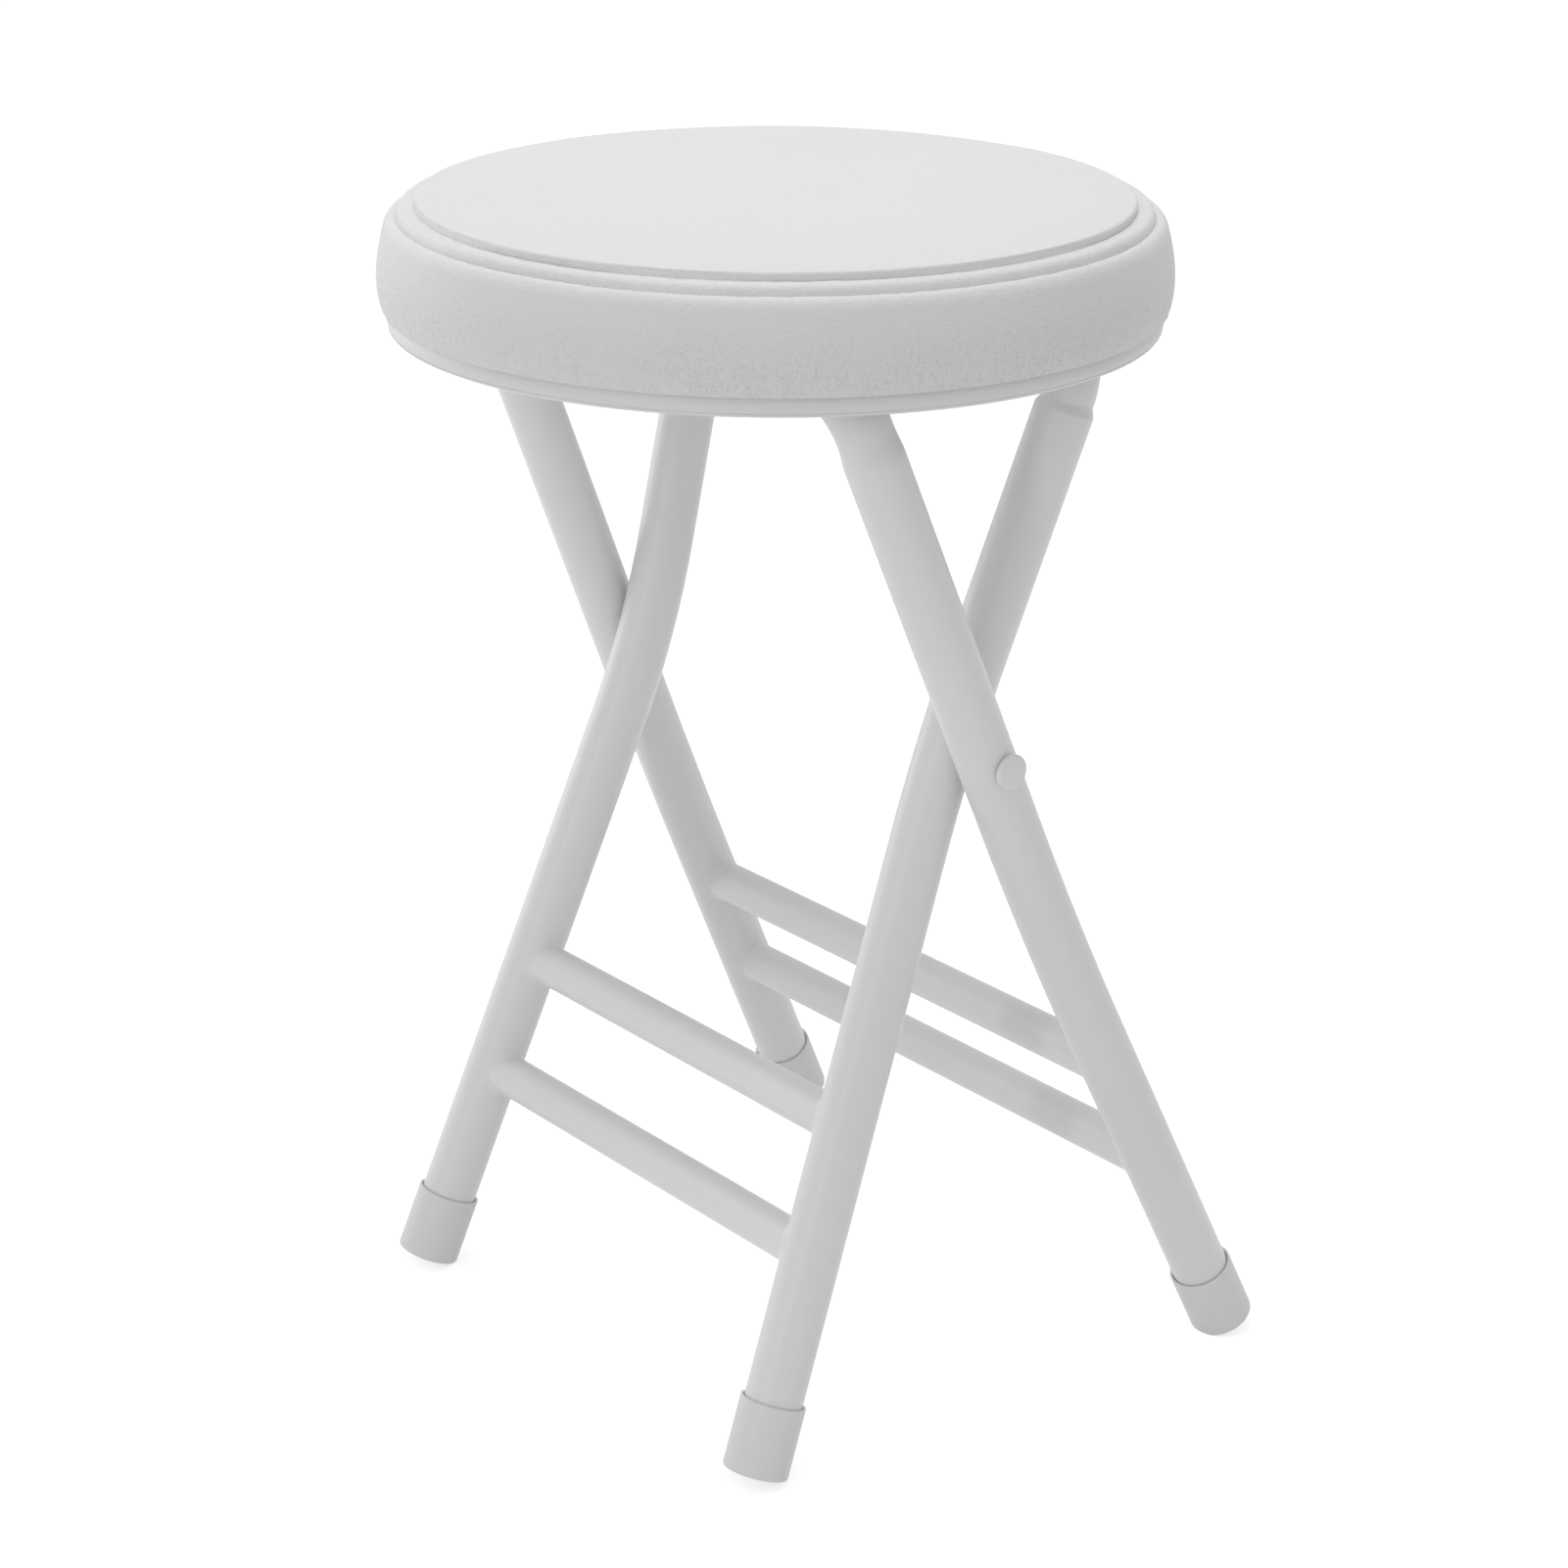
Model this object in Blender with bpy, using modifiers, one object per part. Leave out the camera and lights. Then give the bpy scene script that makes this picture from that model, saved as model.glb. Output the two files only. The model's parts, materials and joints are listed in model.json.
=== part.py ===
"""Folding stool with a round padded seat on two crossed tube frames.

The stool stands open with its feet on z = 0 and the seat's centre over the origin.
+X runs along the pivot axis, +Y towards the feet of the outer frame, +Z up.
Each frame is one bent tube: two legs and the crossbar under the seat.
The outer frame's crossbar lies at -Y and its feet at +Y, the inner frame's the other way round.
The seat turns on the inner crossbar, and its catches hook over the outer crossbar.
All lengths are in metres and all angles in degrees.
"""
from math import cos, log, pi, radians, sin, sqrt, tan

import bmesh
import bpy
from mathutils import Matrix, Vector

# Clearance left between separate solids that seat on each other
GAP = 0.0003

# Tubes
TUBE_RADIUS = 0.011
TUBE_WALL = 0.0012
RUNG_RADIUS = 0.0082
RUNG_WALL = 0.001
BEND_RADIUS = 0.024
BEND_PRESS = 0.0028
BEND_LEAD = 0.005

# Pivot between the frames: the pin sits a little above the point where the legs' centre lines cross
CROSSING_HEIGHT = 0.2575
PIN_RISE = 0.002
PIVOT_OFFSET = 0.0072
PIVOT_WASHER_THICKNESS = 0.0006
PIVOT_WASHER_RADIUS = 0.0055
RIVET_RADIUS = 0.003
RIVET_HEAD_RADIUS = 0.0066
RIVET_HEAD_THICKNESS = 0.0022
RIVET_HEAD_ROUNDING = 0.001
RIVET_TAIL_RADIUS = 0.0042
RIVET_TAIL_THICKNESS = 0.0018

# Inner frame: half width at the pin, lean along Y and splay along X above and below its bow
INNER_HALF_WIDTH = 0.0902
INNER_LEAN_ABOVE = 18.1
INNER_LEAN_BELOW = 22.0
INNER_SPLAY_ABOVE = 6.9
INNER_SPLAY_BELOW = -4.4
INNER_BOW_HEIGHT = 0.257
INNER_BOW_REACH = 0.035

# Outer frame, whose half width follows from the inner one, and whose bow is lower and longer
OUTER_LEAN_ABOVE = -22.7
OUTER_LEAN_BELOW = -25.2
OUTER_SPLAY_ABOVE = -2.8
OUTER_SPLAY_BELOW = -5.0
OUTER_BOW_HEIGHT = 0.189
OUTER_BOW_REACH = 0.045

# Rungs, by height
UPPER_RUNG_HEIGHT = 0.1256
LOWER_RUNG_HEIGHT = 0.0806

# Foot caps
CAP_LENGTH = 0.0273
CAP_WALL = 0.0011
CAP_LIP_CHAMFER = 0.0004
CAP_FLOOR = 0.004
CAP_EDGE_ROUNDING = 0.0008
CAP_FLAT_DEPTH = 0.0014

# Seat pan: a moulded dish with an outer rim that the cushion sits on
RIM_HEIGHT = 0.4008
RIM_DEPTH = 0.0072
RIM_RADIUS = 0.142
RIM_DRAFT = 0.0009
RIM_EDGE = 0.0006
PAN_WALL = 0.0025
PAN_RECESS = 0.021
PAN_ROUNDING = 0.0018
SHOULDER_WIDTH = 0.007

# Plywood board
BOARD_THICKNESS = 0.009

# Cushion
SEAT_RADIUS = 0.145
CUSHION_HEM_RADIUS = 0.1418
CUSHION_EDGE_HEIGHT = 0.0391
CUSHION_CROWN = 0.0031
CROWN_FLATNESS = 4
BEAD_RADIUS = 0.1361
BEAD_WIDTH = 0.0052
GROOVE_DEPTH = 0.002
SHOULDER_DROP = 0.0038
SIDE_FULLNESS = 2.0
SIDE_FULLEST = 0.60

# Hinge saddles round the inner crossbar, catches over the outer one
FITTING_OFFSET = 0.045
FITTING_WIDTH = 0.024
STRAP_THICKNESS = 0.002
EAR_LENGTH = 0.014
CATCH_WRAP = 20
CATCH_SCREW_SPACING = 0.013

# Screws
SCREW_RADIUS = 0.0018
SCREW_HEAD_RADIUS = 0.0038
SCREW_HEAD_HEIGHT = 0.0022
SCREW_GRIP = 0.006
SCREW_HEAD_TAPER = 0.75
SCREW_TIP_TAPER = 0.7
PAN_SCREWS = 4
PAN_SCREW_INSET = 0.027
PAN_SCREW_ANGLE = 12

# Facets
TUBE_SIDES = 16
RUNG_SIDES = 14
CAP_SIDES = 20
SCREW_SIDES = 10
RIVET_SIDES = 16
SEAT_SIDES = 44
BOW_STEPS = 6
BEND_STEPS = 6
SIDE_STEPS = 8
SADDLE_STEPS = 10
STRAP_STEPS = 4
CROWN_STEPS = (0, 0.35, 0.62, 0.82, 0.93)
BEAD_STEPS = ((0.3, 0.3), (0.6, 0.5), (0.83, 0.86))

# Largest angle between faces that are shaded as one surface
SMOOTHING = 35
TUBE_SMOOTHING = 50

# Levels and radii that follow from the sizes above
TUBE_BORE = TUBE_RADIUS - TUBE_WALL
PIVOT_HEIGHT = CROSSING_HEIGHT + PIN_RISE
RIM_TOP = RIM_HEIGHT + RIM_DEPTH
PAN_FLOOR = RIM_HEIGHT + PAN_RECESS
CROSSBAR_HEIGHT = PAN_FLOOR - GAP - TUBE_RADIUS
BOARD_BOTTOM = PAN_FLOOR + PAN_WALL + GAP
BOARD_TOP = BOARD_BOTTOM + BOARD_THICKNESS
DISH_RADIUS = RIM_RADIUS - SHOULDER_WIDTH
PAN_SCREW_CIRCLE = DISH_RADIUS - PAN_SCREW_INSET
CUSHION_BOTTOM = RIM_TOP + GAP
SEAT_EDGE = CUSHION_BOTTOM + CUSHION_EDGE_HEIGHT
CAP_RADIUS = TUBE_RADIUS + GAP + CAP_WALL
OUTER_HALF_WIDTH = INNER_HALF_WIDTH + 2 * TUBE_RADIUS + PIVOT_WASHER_THICKNESS + 2 * GAP

X_AXIS = Vector((1, 0, 0))


def clear_scene():
    """Remove every object of the open file."""
    for item in list(bpy.data.objects):
        bpy.data.objects.remove(item, do_unlink=True)


def new_collection(name):
    """Return a new collection under the scene."""
    collection = bpy.data.collections.new(name)
    bpy.context.scene.collection.children.link(collection)
    return collection


def new_material(name, colour, roughness, metallic=0.0):
    """Return a Principled material."""
    material = bpy.data.materials.new(name)
    material.use_nodes = True
    shader = material.node_tree.nodes["Principled BSDF"]
    shader.inputs["Base Color"].default_value = (*colour, 1.0)
    shader.inputs["Roughness"].default_value = roughness
    shader.inputs["Metallic"].default_value = metallic
    material.diffuse_color = (*colour, 1.0)
    return material


clear_scene()
stool = new_collection("folding_stool")
cutters = new_collection("cutters")

WHITE_VINYL = ((0.80, 0.80, 0.80), 0.55)
WHITE_COAT = ((0.62, 0.62, 0.62), 0.35)
WHITE_PLASTIC = ((0.60, 0.60, 0.60), 0.45)
PLYWOOD = ((0.55, 0.42, 0.27), 0.70)
NYLON = ((0.75, 0.75, 0.72), 0.40)
ZINC = ((0.55, 0.56, 0.58), 0.35, 0.9)


def add_object(name, mesh, finish=None, cutter=False):
    """Link a mesh as a part of the stool, or as a hidden cutter."""
    item = bpy.data.objects.new(name, mesh)
    if cutter:
        cutters.objects.link(item)
        item.hide_render = True
        item.display_type = "WIRE"
        return item
    stool.objects.link(item)
    if finish:
        mesh.materials.clear()
        mesh.materials.append(new_material(name, *finish))
    return item


def add_empty(name, location):
    """Add an empty that marks a joint's axis."""
    empty = bpy.data.objects.new(name, None)
    stool.objects.link(empty)
    empty.location = location
    bpy.context.view_layer.update()
    return empty


def keep_place(item, parent):
    """Parent an object without moving it."""
    item.parent = parent
    item.matrix_parent_inverse = parent.matrix_world.inverted()
    return item


def subtract(item, cutter):
    """Cut one object by another."""
    cut = item.modifiers.new("cut_" + cutter.name, "BOOLEAN")
    cut.operation = "DIFFERENCE"
    cut.solver = "EXACT"
    cut.object = cutter


def thicken(item, wall):
    """Give an open surface its wall, inwards."""
    solid = item.modifiers.new("wall", "SOLIDIFY")
    solid.thickness = wall
    solid.offset = -1
    solid.use_even_offset = True


def smooth(mesh, angle=SMOOTHING):
    """Shade a mesh smooth, with its sharp edges kept."""
    mesh.shade_smooth()
    mesh.set_sharp_from_angle(angle=radians(angle))


def turned(name, profile, sides, finish=None, cutter=False):
    """Turn a profile of (radius, height) points about Z, written down the outer side."""
    mesh = bpy.data.meshes.new(name)
    points = [(radius, 0, height) for radius, height in profile]
    edges = [(i, i + 1) for i in range(len(points) - 1)]
    if profile[0][0] > 0:
        edges.append((len(points) - 1, 0))
    mesh.from_pydata(points, edges, [])
    item = add_object(name, mesh, finish, cutter)
    screw = item.modifiers.new("turn", "SCREW")
    screw.axis = "Z"
    screw.steps = sides
    screw.render_steps = sides
    screw.use_merge_vertices = True
    screw.merge_threshold = 0.00001
    return item


def evaluated_mesh(item):
    """Return an object's mesh with its modifiers applied."""
    return bpy.data.meshes.new_from_object(item.evaluated_get(bpy.context.evaluated_depsgraph_get()))


def extruded(name, outline, width, finish):
    """Extrude a closed outline of (y, z) points along X, centred on X = 0."""
    curve = bpy.data.curves.new(name, "CURVE")
    curve.dimensions = "2D"
    curve.fill_mode = "BOTH"
    curve.extrude = width / 2
    spline = curve.splines.new("POLY")
    spline.points.add(len(outline) - 1)
    for point, (y, z) in zip(spline.points, outline):
        point.co = (y, z, 0, 1)
    spline.use_cyclic_u = True
    source = bpy.data.objects.new(name + "_outline", curve)
    stool.objects.link(source)
    source.matrix_world = Matrix(((0, 0, 1, 0), (1, 0, 0, 0), (0, 1, 0, 0), (0, 0, 0, 1)))
    bpy.context.view_layer.update()
    mesh = evaluated_mesh(source)
    mesh.transform(source.matrix_world)
    bpy.data.objects.remove(source)
    bpy.data.curves.remove(curve)
    weld(mesh)
    mesh.name = name
    return add_object(name, mesh, finish)


def weld(mesh):
    """Join the caps of a mesh to its sides."""
    cage = bmesh.new()
    cage.from_mesh(mesh)
    bmesh.ops.remove_doubles(cage, verts=cage.verts, dist=0.00001)
    bmesh.ops.recalc_face_normals(cage, faces=cage.faces)
    cage.to_mesh(mesh)
    cage.free()


def arc(centre, radius, start, end, steps):
    """Points (a, b) on a circle, from one angle to another, both included."""
    angles = [radians(start + (end - start) * i / steps) for i in range(steps + 1)]
    return [(centre[0] + radius * cos(a), centre[1] + radius * sin(a)) for a in angles]


class Leg:
    """Centre line of one leg at +X, read by height: straight, bowed, then straight again."""

    def __init__(self, half_width, lean, splay, bow_height, bow_reach):
        self.half_width = half_width
        self.lean_above, self.lean_below = (tan(radians(a)) for a in lean)
        self.splay_above, self.splay_below = (tan(radians(a)) for a in splay)
        self.bow_height = bow_height
        self.bow_reach = bow_reach

    def travel(self, height, above, below):
        """Sideways way of a line whose slope turns evenly from one value to the other."""
        rise = height - self.bow_height
        reach = self.bow_reach
        turn = abs(rise) if abs(rise) > reach else (rise * rise + reach * reach) / (2 * reach)
        return (above + below) / 2 * rise + (above - below) / 2 * turn

    def slope(self, height, above, below):
        """Slope of that line at a height."""
        share = max(-1.0, min(1.0, (height - self.bow_height) / self.bow_reach))
        return (above + below) / 2 + (above - below) / 2 * share

    def point(self, height):
        """Centre of the tube at a height."""
        splay = (self.splay_above, self.splay_below)
        lean = (self.lean_above, self.lean_below)
        x = self.half_width + self.travel(height, *splay) - self.travel(PIVOT_HEIGHT, *splay)
        y = PIVOT_OFFSET + self.travel(height, *lean) - self.travel(CROSSING_HEIGHT, *lean)
        return Vector((x, y, height))

    def direction(self, height):
        """Unit vector up the leg at a height."""
        x = self.slope(height, self.splay_above, self.splay_below)
        y = self.slope(height, self.lean_above, self.lean_below)
        return Vector((x, y, 1)).normalized()

    def foot(self):
        """Centre of the cap's end disc and the leg's direction there."""
        up = self.direction(0)
        tilt = (1 - up.z * up.z) ** 0.5
        return self.point(CAP_RADIUS * tilt - CAP_FLAT_DEPTH), up


inner_leg = Leg(INNER_HALF_WIDTH, (INNER_LEAN_ABOVE, INNER_LEAN_BELOW),
                (INNER_SPLAY_ABOVE, INNER_SPLAY_BELOW), INNER_BOW_HEIGHT, INNER_BOW_REACH)
outer_leg = Leg(OUTER_HALF_WIDTH, (OUTER_LEAN_ABOVE, OUTER_LEAN_BELOW),
                (OUTER_SPLAY_ABOVE, OUTER_SPLAY_BELOW), OUTER_BOW_HEIGHT, OUTER_BOW_REACH)


def half_frame_path(leg):
    """Stations (point, direction, press) from the foot at +X up to the middle of the crossbar."""
    foot, up = leg.foot()
    start = foot + up * (CAP_FLOOR + GAP)
    stations = [(start, up, 0.0)]
    low = leg.bow_height - leg.bow_reach
    for i in range(BOW_STEPS + 1):
        height = low + 2 * leg.bow_reach * i / BOW_STEPS
        stations.append((leg.point(height), leg.direction(height), 0.0))
    corner = leg.point(CROSSBAR_HEIGHT)
    up = leg.direction(CROSSBAR_HEIGHT)
    turn = up.angle(-X_AXIS)
    length = BEND_RADIUS * tan(turn / 2)
    centre = corner + (-X_AXIS - up).normalized() * BEND_RADIUS / cos(turn / 2)
    spoke = (corner - up * length) - centre
    axis = up.cross(-X_AXIS).normalized()
    for lead in (1, 0.5):
        stations.append((centre + spoke - up * BEND_LEAD * lead, up, (1 - lead) * BEND_PRESS))
    for i in range(BEND_STEPS + 1):
        spin = Matrix.Rotation(turn * i / BEND_STEPS, 3, axis)
        stations.append((centre + spin @ spoke, spin @ up, BEND_PRESS))
    bend_end = stations[-1][0]
    for lead in (0.5, 1):
        stations.append((bend_end - X_AXIS * BEND_LEAD * lead, -X_AXIS, (1 - lead) * BEND_PRESS))
    stations.append((Vector((0, corner.y, CROSSBAR_HEIGHT)), -X_AXIS, 0.0))
    return stations


def mirrored(stations):
    """The whole frame's stations, foot to foot, from the half at +X."""
    back = []
    for point, direction, press in reversed(stations[:-1]):
        turned_back = Vector((direction.x, -direction.y, -direction.z))
        back.append((Vector((-point.x, point.y, point.z)), turned_back, press))
    return stations + back


def lofted_tube(name, stations, normal, radius, sides, closed, finish=None, cutter=False):
    """Skin a tube over stations, pressed to an oval through its bends."""
    cage = bmesh.new()
    rings = []
    for point, direction, press in stations:
        across = (normal - direction * normal.dot(direction)).normalized()
        inwards = direction.cross(across)
        ring = []
        for i in range(sides):
            angle = 2 * pi * (i + 0.5) / sides
            spoke = across * cos(angle) * radius + inwards * sin(angle) * (radius - press)
            ring.append(cage.verts.new(point + spoke))
        rings.append(ring)
    for ring, following in zip(rings, rings[1:]):
        for i in range(sides):
            j = (i + 1) % sides
            cage.faces.new((ring[i], ring[j], following[j], following[i]))
    if closed:
        cage.faces.new(rings[0])
        cage.faces.new(rings[-1])
    bmesh.ops.recalc_face_normals(cage, faces=cage.faces)
    mesh = bpy.data.meshes.new(name)
    cage.to_mesh(mesh)
    cage.free()
    smooth(mesh, TUBE_SMOOTHING)
    return add_object(name, mesh, finish, cutter=cutter)


def rod_along_x(name, start, end, y, z, radius, sides, closed=True, finish=None, cutter=False):
    """A round rod along X, or its open skin."""
    cage = bmesh.new()
    place = Matrix.Translation(((start + end) / 2, y, z)) @ Matrix.Rotation(pi / 2, 4, "Y")
    bmesh.ops.create_cone(cage, cap_ends=closed, segments=sides, radius1=radius, radius2=radius,
                          depth=abs(end - start), matrix=place)
    mesh = bpy.data.meshes.new(name)
    cage.to_mesh(mesh)
    cage.free()
    smooth(mesh)
    return add_object(name, mesh, finish, cutter=cutter)


def build_frame(prefix, leg, parent, drilled_from):
    """One frame: bent tube drilled for the rivets, two rungs welded in, and two foot caps."""
    stations = mirrored(half_frame_path(leg))
    normal = X_AXIS.cross(leg.direction(CROSSBAR_HEIGHT)).normalized()
    tube = lofted_tube(prefix + "_frame_tube", stations, normal, TUBE_RADIUS, TUBE_SIDES, False, WHITE_COAT)
    thicken(tube, TUBE_WALL)
    keep_place(tube, parent)
    weld_face = lofted_tube(prefix + "_weld_cutter", stations, normal, TUBE_RADIUS + GAP, TUBE_SIDES, True,
                            cutter=True)
    drilled_to = leg.half_width + 2 * TUBE_RADIUS
    for side in (-1, 1):
        hole = rod_along_x(f"{prefix}_rivet_hole_{side}", side * drilled_from, side * drilled_to,
                           PIVOT_OFFSET, PIVOT_HEIGHT, RIVET_RADIUS + GAP, RIVET_SIDES, cutter=True)
        subtract(tube, hole)
    for place, height in (("upper", UPPER_RUNG_HEIGHT), ("lower", LOWER_RUNG_HEIGHT)):
        middle = leg.point(height)
        rung = rod_along_x(f"{prefix}_{place}_rung", -middle.x, middle.x, middle.y, height, RUNG_RADIUS,
                           RUNG_SIDES, False, WHITE_COAT)
        thicken(rung, RUNG_WALL)
        subtract(rung, weld_face)
        keep_place(rung, parent)
    for side, hand in ((-1, "left"), (1, "right")):
        build_cap(f"{prefix}_{hand}_foot_cap", leg, side, parent)


def build_cap(name, leg, side, parent):
    """A push-on foot cap, cut flat where it meets the floor."""
    r = CAP_EDGE_ROUNDING
    bore = TUBE_RADIUS + GAP
    lip = CAP_LIP_CHAMFER
    profile = [(0, CAP_FLOOR), (bore, CAP_FLOOR), (bore, CAP_LENGTH), (CAP_RADIUS - lip, CAP_LENGTH)]
    profile += [(CAP_RADIUS, CAP_LENGTH - lip)] + arc((CAP_RADIUS - r, r), r, 0, -90, 3) + [(0, 0)]
    cap = turned(name, profile, CAP_SIDES, WHITE_PLASTIC)
    foot, up = leg.foot()
    foot.x *= side
    up.x *= side
    cap.matrix_world = Matrix.Translation(foot) @ up.to_track_quat("Z", "Y").to_matrix().to_4x4()
    bpy.context.view_layer.update()
    mesh = evaluated_mesh(cap)
    cage = bmesh.new()
    cage.from_mesh(mesh)
    cage.transform(cap.matrix_world)
    cut = bmesh.ops.bisect_plane(cage, geom=cage.verts[:] + cage.edges[:] + cage.faces[:], dist=0.0000001,
                                 plane_co=(0, 0, 0), plane_no=(0, 0, -1), clear_outer=True)
    rim = [e for e in cut["geom_cut"] if isinstance(e, bmesh.types.BMEdge)]
    bmesh.ops.edgeloop_fill(cage, edges=rim)
    cage.transform(cap.matrix_world.inverted())
    cage.to_mesh(mesh)
    cage.free()
    smooth(mesh)
    cap.modifiers.clear()
    cap.data = mesh
    mesh.name = name
    keep_place(cap, parent)


def build_pivot(side, hand, parent):
    """The rivet through the outer tube, spread inside the inner one, and the washer between them."""
    turn = Matrix.Rotation(side * pi / 2, 4, "Y")
    place = Matrix.Translation((0, PIVOT_OFFSET, PIVOT_HEIGHT)) @ turn
    head = OUTER_HALF_WIDTH + TUBE_RADIUS + GAP
    head_top = head + RIVET_HEAD_THICKNESS
    tail = INNER_HALF_WIDTH + sqrt(TUBE_BORE ** 2 - RIVET_TAIL_RADIUS ** 2) - 2 * GAP
    tail_end = tail - RIVET_TAIL_THICKNESS
    r = RIVET_HEAD_ROUNDING
    profile = [(0, head_top)] + arc((RIVET_HEAD_RADIUS - r, head_top - r), r, 90, 0, 3)
    profile += [(RIVET_HEAD_RADIUS, head), (RIVET_RADIUS, head), (RIVET_RADIUS, tail)]
    profile += [(RIVET_TAIL_RADIUS, tail), (RIVET_TAIL_RADIUS - RIVET_TAIL_THICKNESS / 2, tail_end)]
    profile += [(0, tail_end)]
    rivet = turned(f"{hand}_pivot_rivet", profile, RIVET_SIDES, WHITE_COAT)
    rivet.matrix_world = place
    inner_face = INNER_HALF_WIDTH + TUBE_RADIUS + GAP
    outer_face = inner_face + PIVOT_WASHER_THICKNESS
    bore = RIVET_RADIUS + GAP
    ring = [(PIVOT_WASHER_RADIUS, outer_face), (PIVOT_WASHER_RADIUS, inner_face), (bore, inner_face),
            (bore, outer_face)]
    washer = turned(f"{hand}_pivot_washer", ring, RIVET_SIDES, NYLON)
    washer.matrix_world = place
    bpy.context.view_layer.update()
    for item in (rivet, washer):
        keep_place(item, parent)


def cushion_side(start, end):
    """Points down the full side between two (radius, height) points, fullest below its middle."""
    points = []
    lower = log(0.5) / log(SIDE_FULLEST)
    for i in range(SIDE_STEPS + 1):
        share = i / SIDE_STEPS
        bulge = 1 - abs(2 * share ** lower - 1) ** SIDE_FULLNESS
        edge = start[0] + (end[0] - start[0]) * share
        points.append((edge + (SEAT_RADIUS - edge) * bulge, start[1] + (end[1] - start[1]) * share))
    return points


def build_cushion(parent):
    """Foam cushion: crown, sewn bead between two grooves, full side drawn in to the hem."""
    inner_groove = BEAD_RADIUS - BEAD_WIDTH / 2
    outer_groove = BEAD_RADIUS + BEAD_WIDTH / 2
    crown = [(inner_groove * share, SEAT_EDGE + CUSHION_CROWN * (1 - share ** CROWN_FLATNESS))
             for share in CROWN_STEPS]
    first_groove = [(inner_groove - GROOVE_DEPTH, SEAT_EDGE), (inner_groove, SEAT_EDGE - GROOVE_DEPTH)]
    bead = [(inner_groove + BEAD_WIDTH * across, SEAT_EDGE - SHOULDER_DROP * drop) for across, drop in BEAD_STEPS]
    groove_bottom = SEAT_EDGE - SHOULDER_DROP - GROOVE_DEPTH
    second_groove = [(outer_groove, groove_bottom)]
    shoulder = (outer_groove + GROOVE_DEPTH / 2, groove_bottom)
    side = cushion_side(shoulder, (CUSHION_HEM_RADIUS, CUSHION_BOTTOM))
    board_recess = DISH_RADIUS + GAP
    under = [(board_recess, CUSHION_BOTTOM), (board_recess, BOARD_TOP + GAP), (0, BOARD_TOP + GAP)]
    profile = crown + first_groove + bead + second_groove + side + under
    return keep_place(turned("seat_cushion", profile, SEAT_SIDES, WHITE_VINYL), parent)


def build_board_and_pan(parent, screws):
    """Plywood board and the moulded dish below it, both drilled for the screws."""
    board_profile = [(0, BOARD_TOP), (DISH_RADIUS, BOARD_TOP), (DISH_RADIUS, BOARD_BOTTOM), (0, BOARD_BOTTOM)]
    board = turned("seat_board", board_profile, SEAT_SIDES, PLYWOOD)
    inside = DISH_RADIUS - PAN_WALL
    foot = RIM_RADIUS - RIM_DRAFT
    skirt = foot - PAN_WALL
    r = PAN_ROUNDING
    top = PAN_FLOOR + PAN_WALL
    pan_profile = [(0, top), (DISH_RADIUS, top), (DISH_RADIUS, RIM_TOP), (RIM_RADIUS - RIM_EDGE, RIM_TOP)]
    pan_profile += [(RIM_RADIUS, RIM_TOP - RIM_EDGE)] + arc((foot - r, RIM_HEIGHT + r), r, 0, -90, 3)
    pan_profile += [(skirt, RIM_HEIGHT), (skirt, RIM_TOP - PAN_WALL), (inside, RIM_TOP - PAN_WALL)]
    pan_profile += [(inside, PAN_FLOOR), (0, PAN_FLOOR)]
    pan = turned("seat_pan", pan_profile, SEAT_SIDES, WHITE_PLASTIC)
    for number, (x, y) in enumerate(screws):
        depth = SCREW_GRIP + PAN_WALL + 2 * GAP
        hole = turned(f"screw_hole_{number}", [(0, PAN_FLOOR + depth), (SCREW_RADIUS + GAP, PAN_FLOOR + depth),
                      (SCREW_RADIUS + GAP, PAN_FLOOR - GAP), (0, PAN_FLOOR - GAP)], SCREW_SIDES, cutter=True)
        hole.location = (x, y, 0)
        subtract(pan, hole)
        subtract(board, hole)
    for item in (board, pan):
        keep_place(item, parent)


def screw_profile(seat_level):
    """One pan-head screw, its head's bearing face under a level and its tip up in the board."""
    base = seat_level - GAP
    tip = PAN_FLOOR + PAN_WALL + SCREW_GRIP
    head = base - SCREW_HEAD_HEIGHT
    waist = base - SCREW_HEAD_HEIGHT / 2
    profile = [(0, tip), (SCREW_RADIUS * SCREW_TIP_TAPER, tip - SCREW_RADIUS)]
    profile += [(SCREW_RADIUS, tip - 2 * SCREW_RADIUS), (SCREW_RADIUS, base)]
    profile += [(SCREW_HEAD_RADIUS, base), (SCREW_HEAD_RADIUS, waist)]
    profile += [(SCREW_HEAD_RADIUS * SCREW_HEAD_TAPER, head), (0, head)]
    return profile


def build_screw(name, x, y, seat_level, parent):
    """A screw at a place on the underside of the seat."""
    screw = turned(name, screw_profile(seat_level), SCREW_SIDES, ZINC)
    screw.location = (x, y, 0)
    bpy.context.view_layer.update()
    return keep_place(screw, parent)


def saddle_outline(bar_y):
    """Strap of a hinge saddle: an ear each side and a half round under the crossbar."""
    inside = TUBE_RADIUS + GAP
    outside = inside + STRAP_THICKNESS
    ear = PAN_FLOOR - GAP
    under_ear = ear - STRAP_THICKNESS
    end = outside + EAR_LENGTH
    outer = [(bar_y - outside, under_ear)] + arc((bar_y, CROSSBAR_HEIGHT), outside, 180, 360, SADDLE_STEPS)
    outer += [(bar_y + outside, under_ear), (bar_y + end, under_ear), (bar_y + end, ear), (bar_y + inside, ear)]
    inner = arc((bar_y, CROSSBAR_HEIGHT), inside, 0, -180, SADDLE_STEPS)
    return outer + inner + [(bar_y - inside, ear), (bar_y - end, ear), (bar_y - end, under_ear)]


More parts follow.
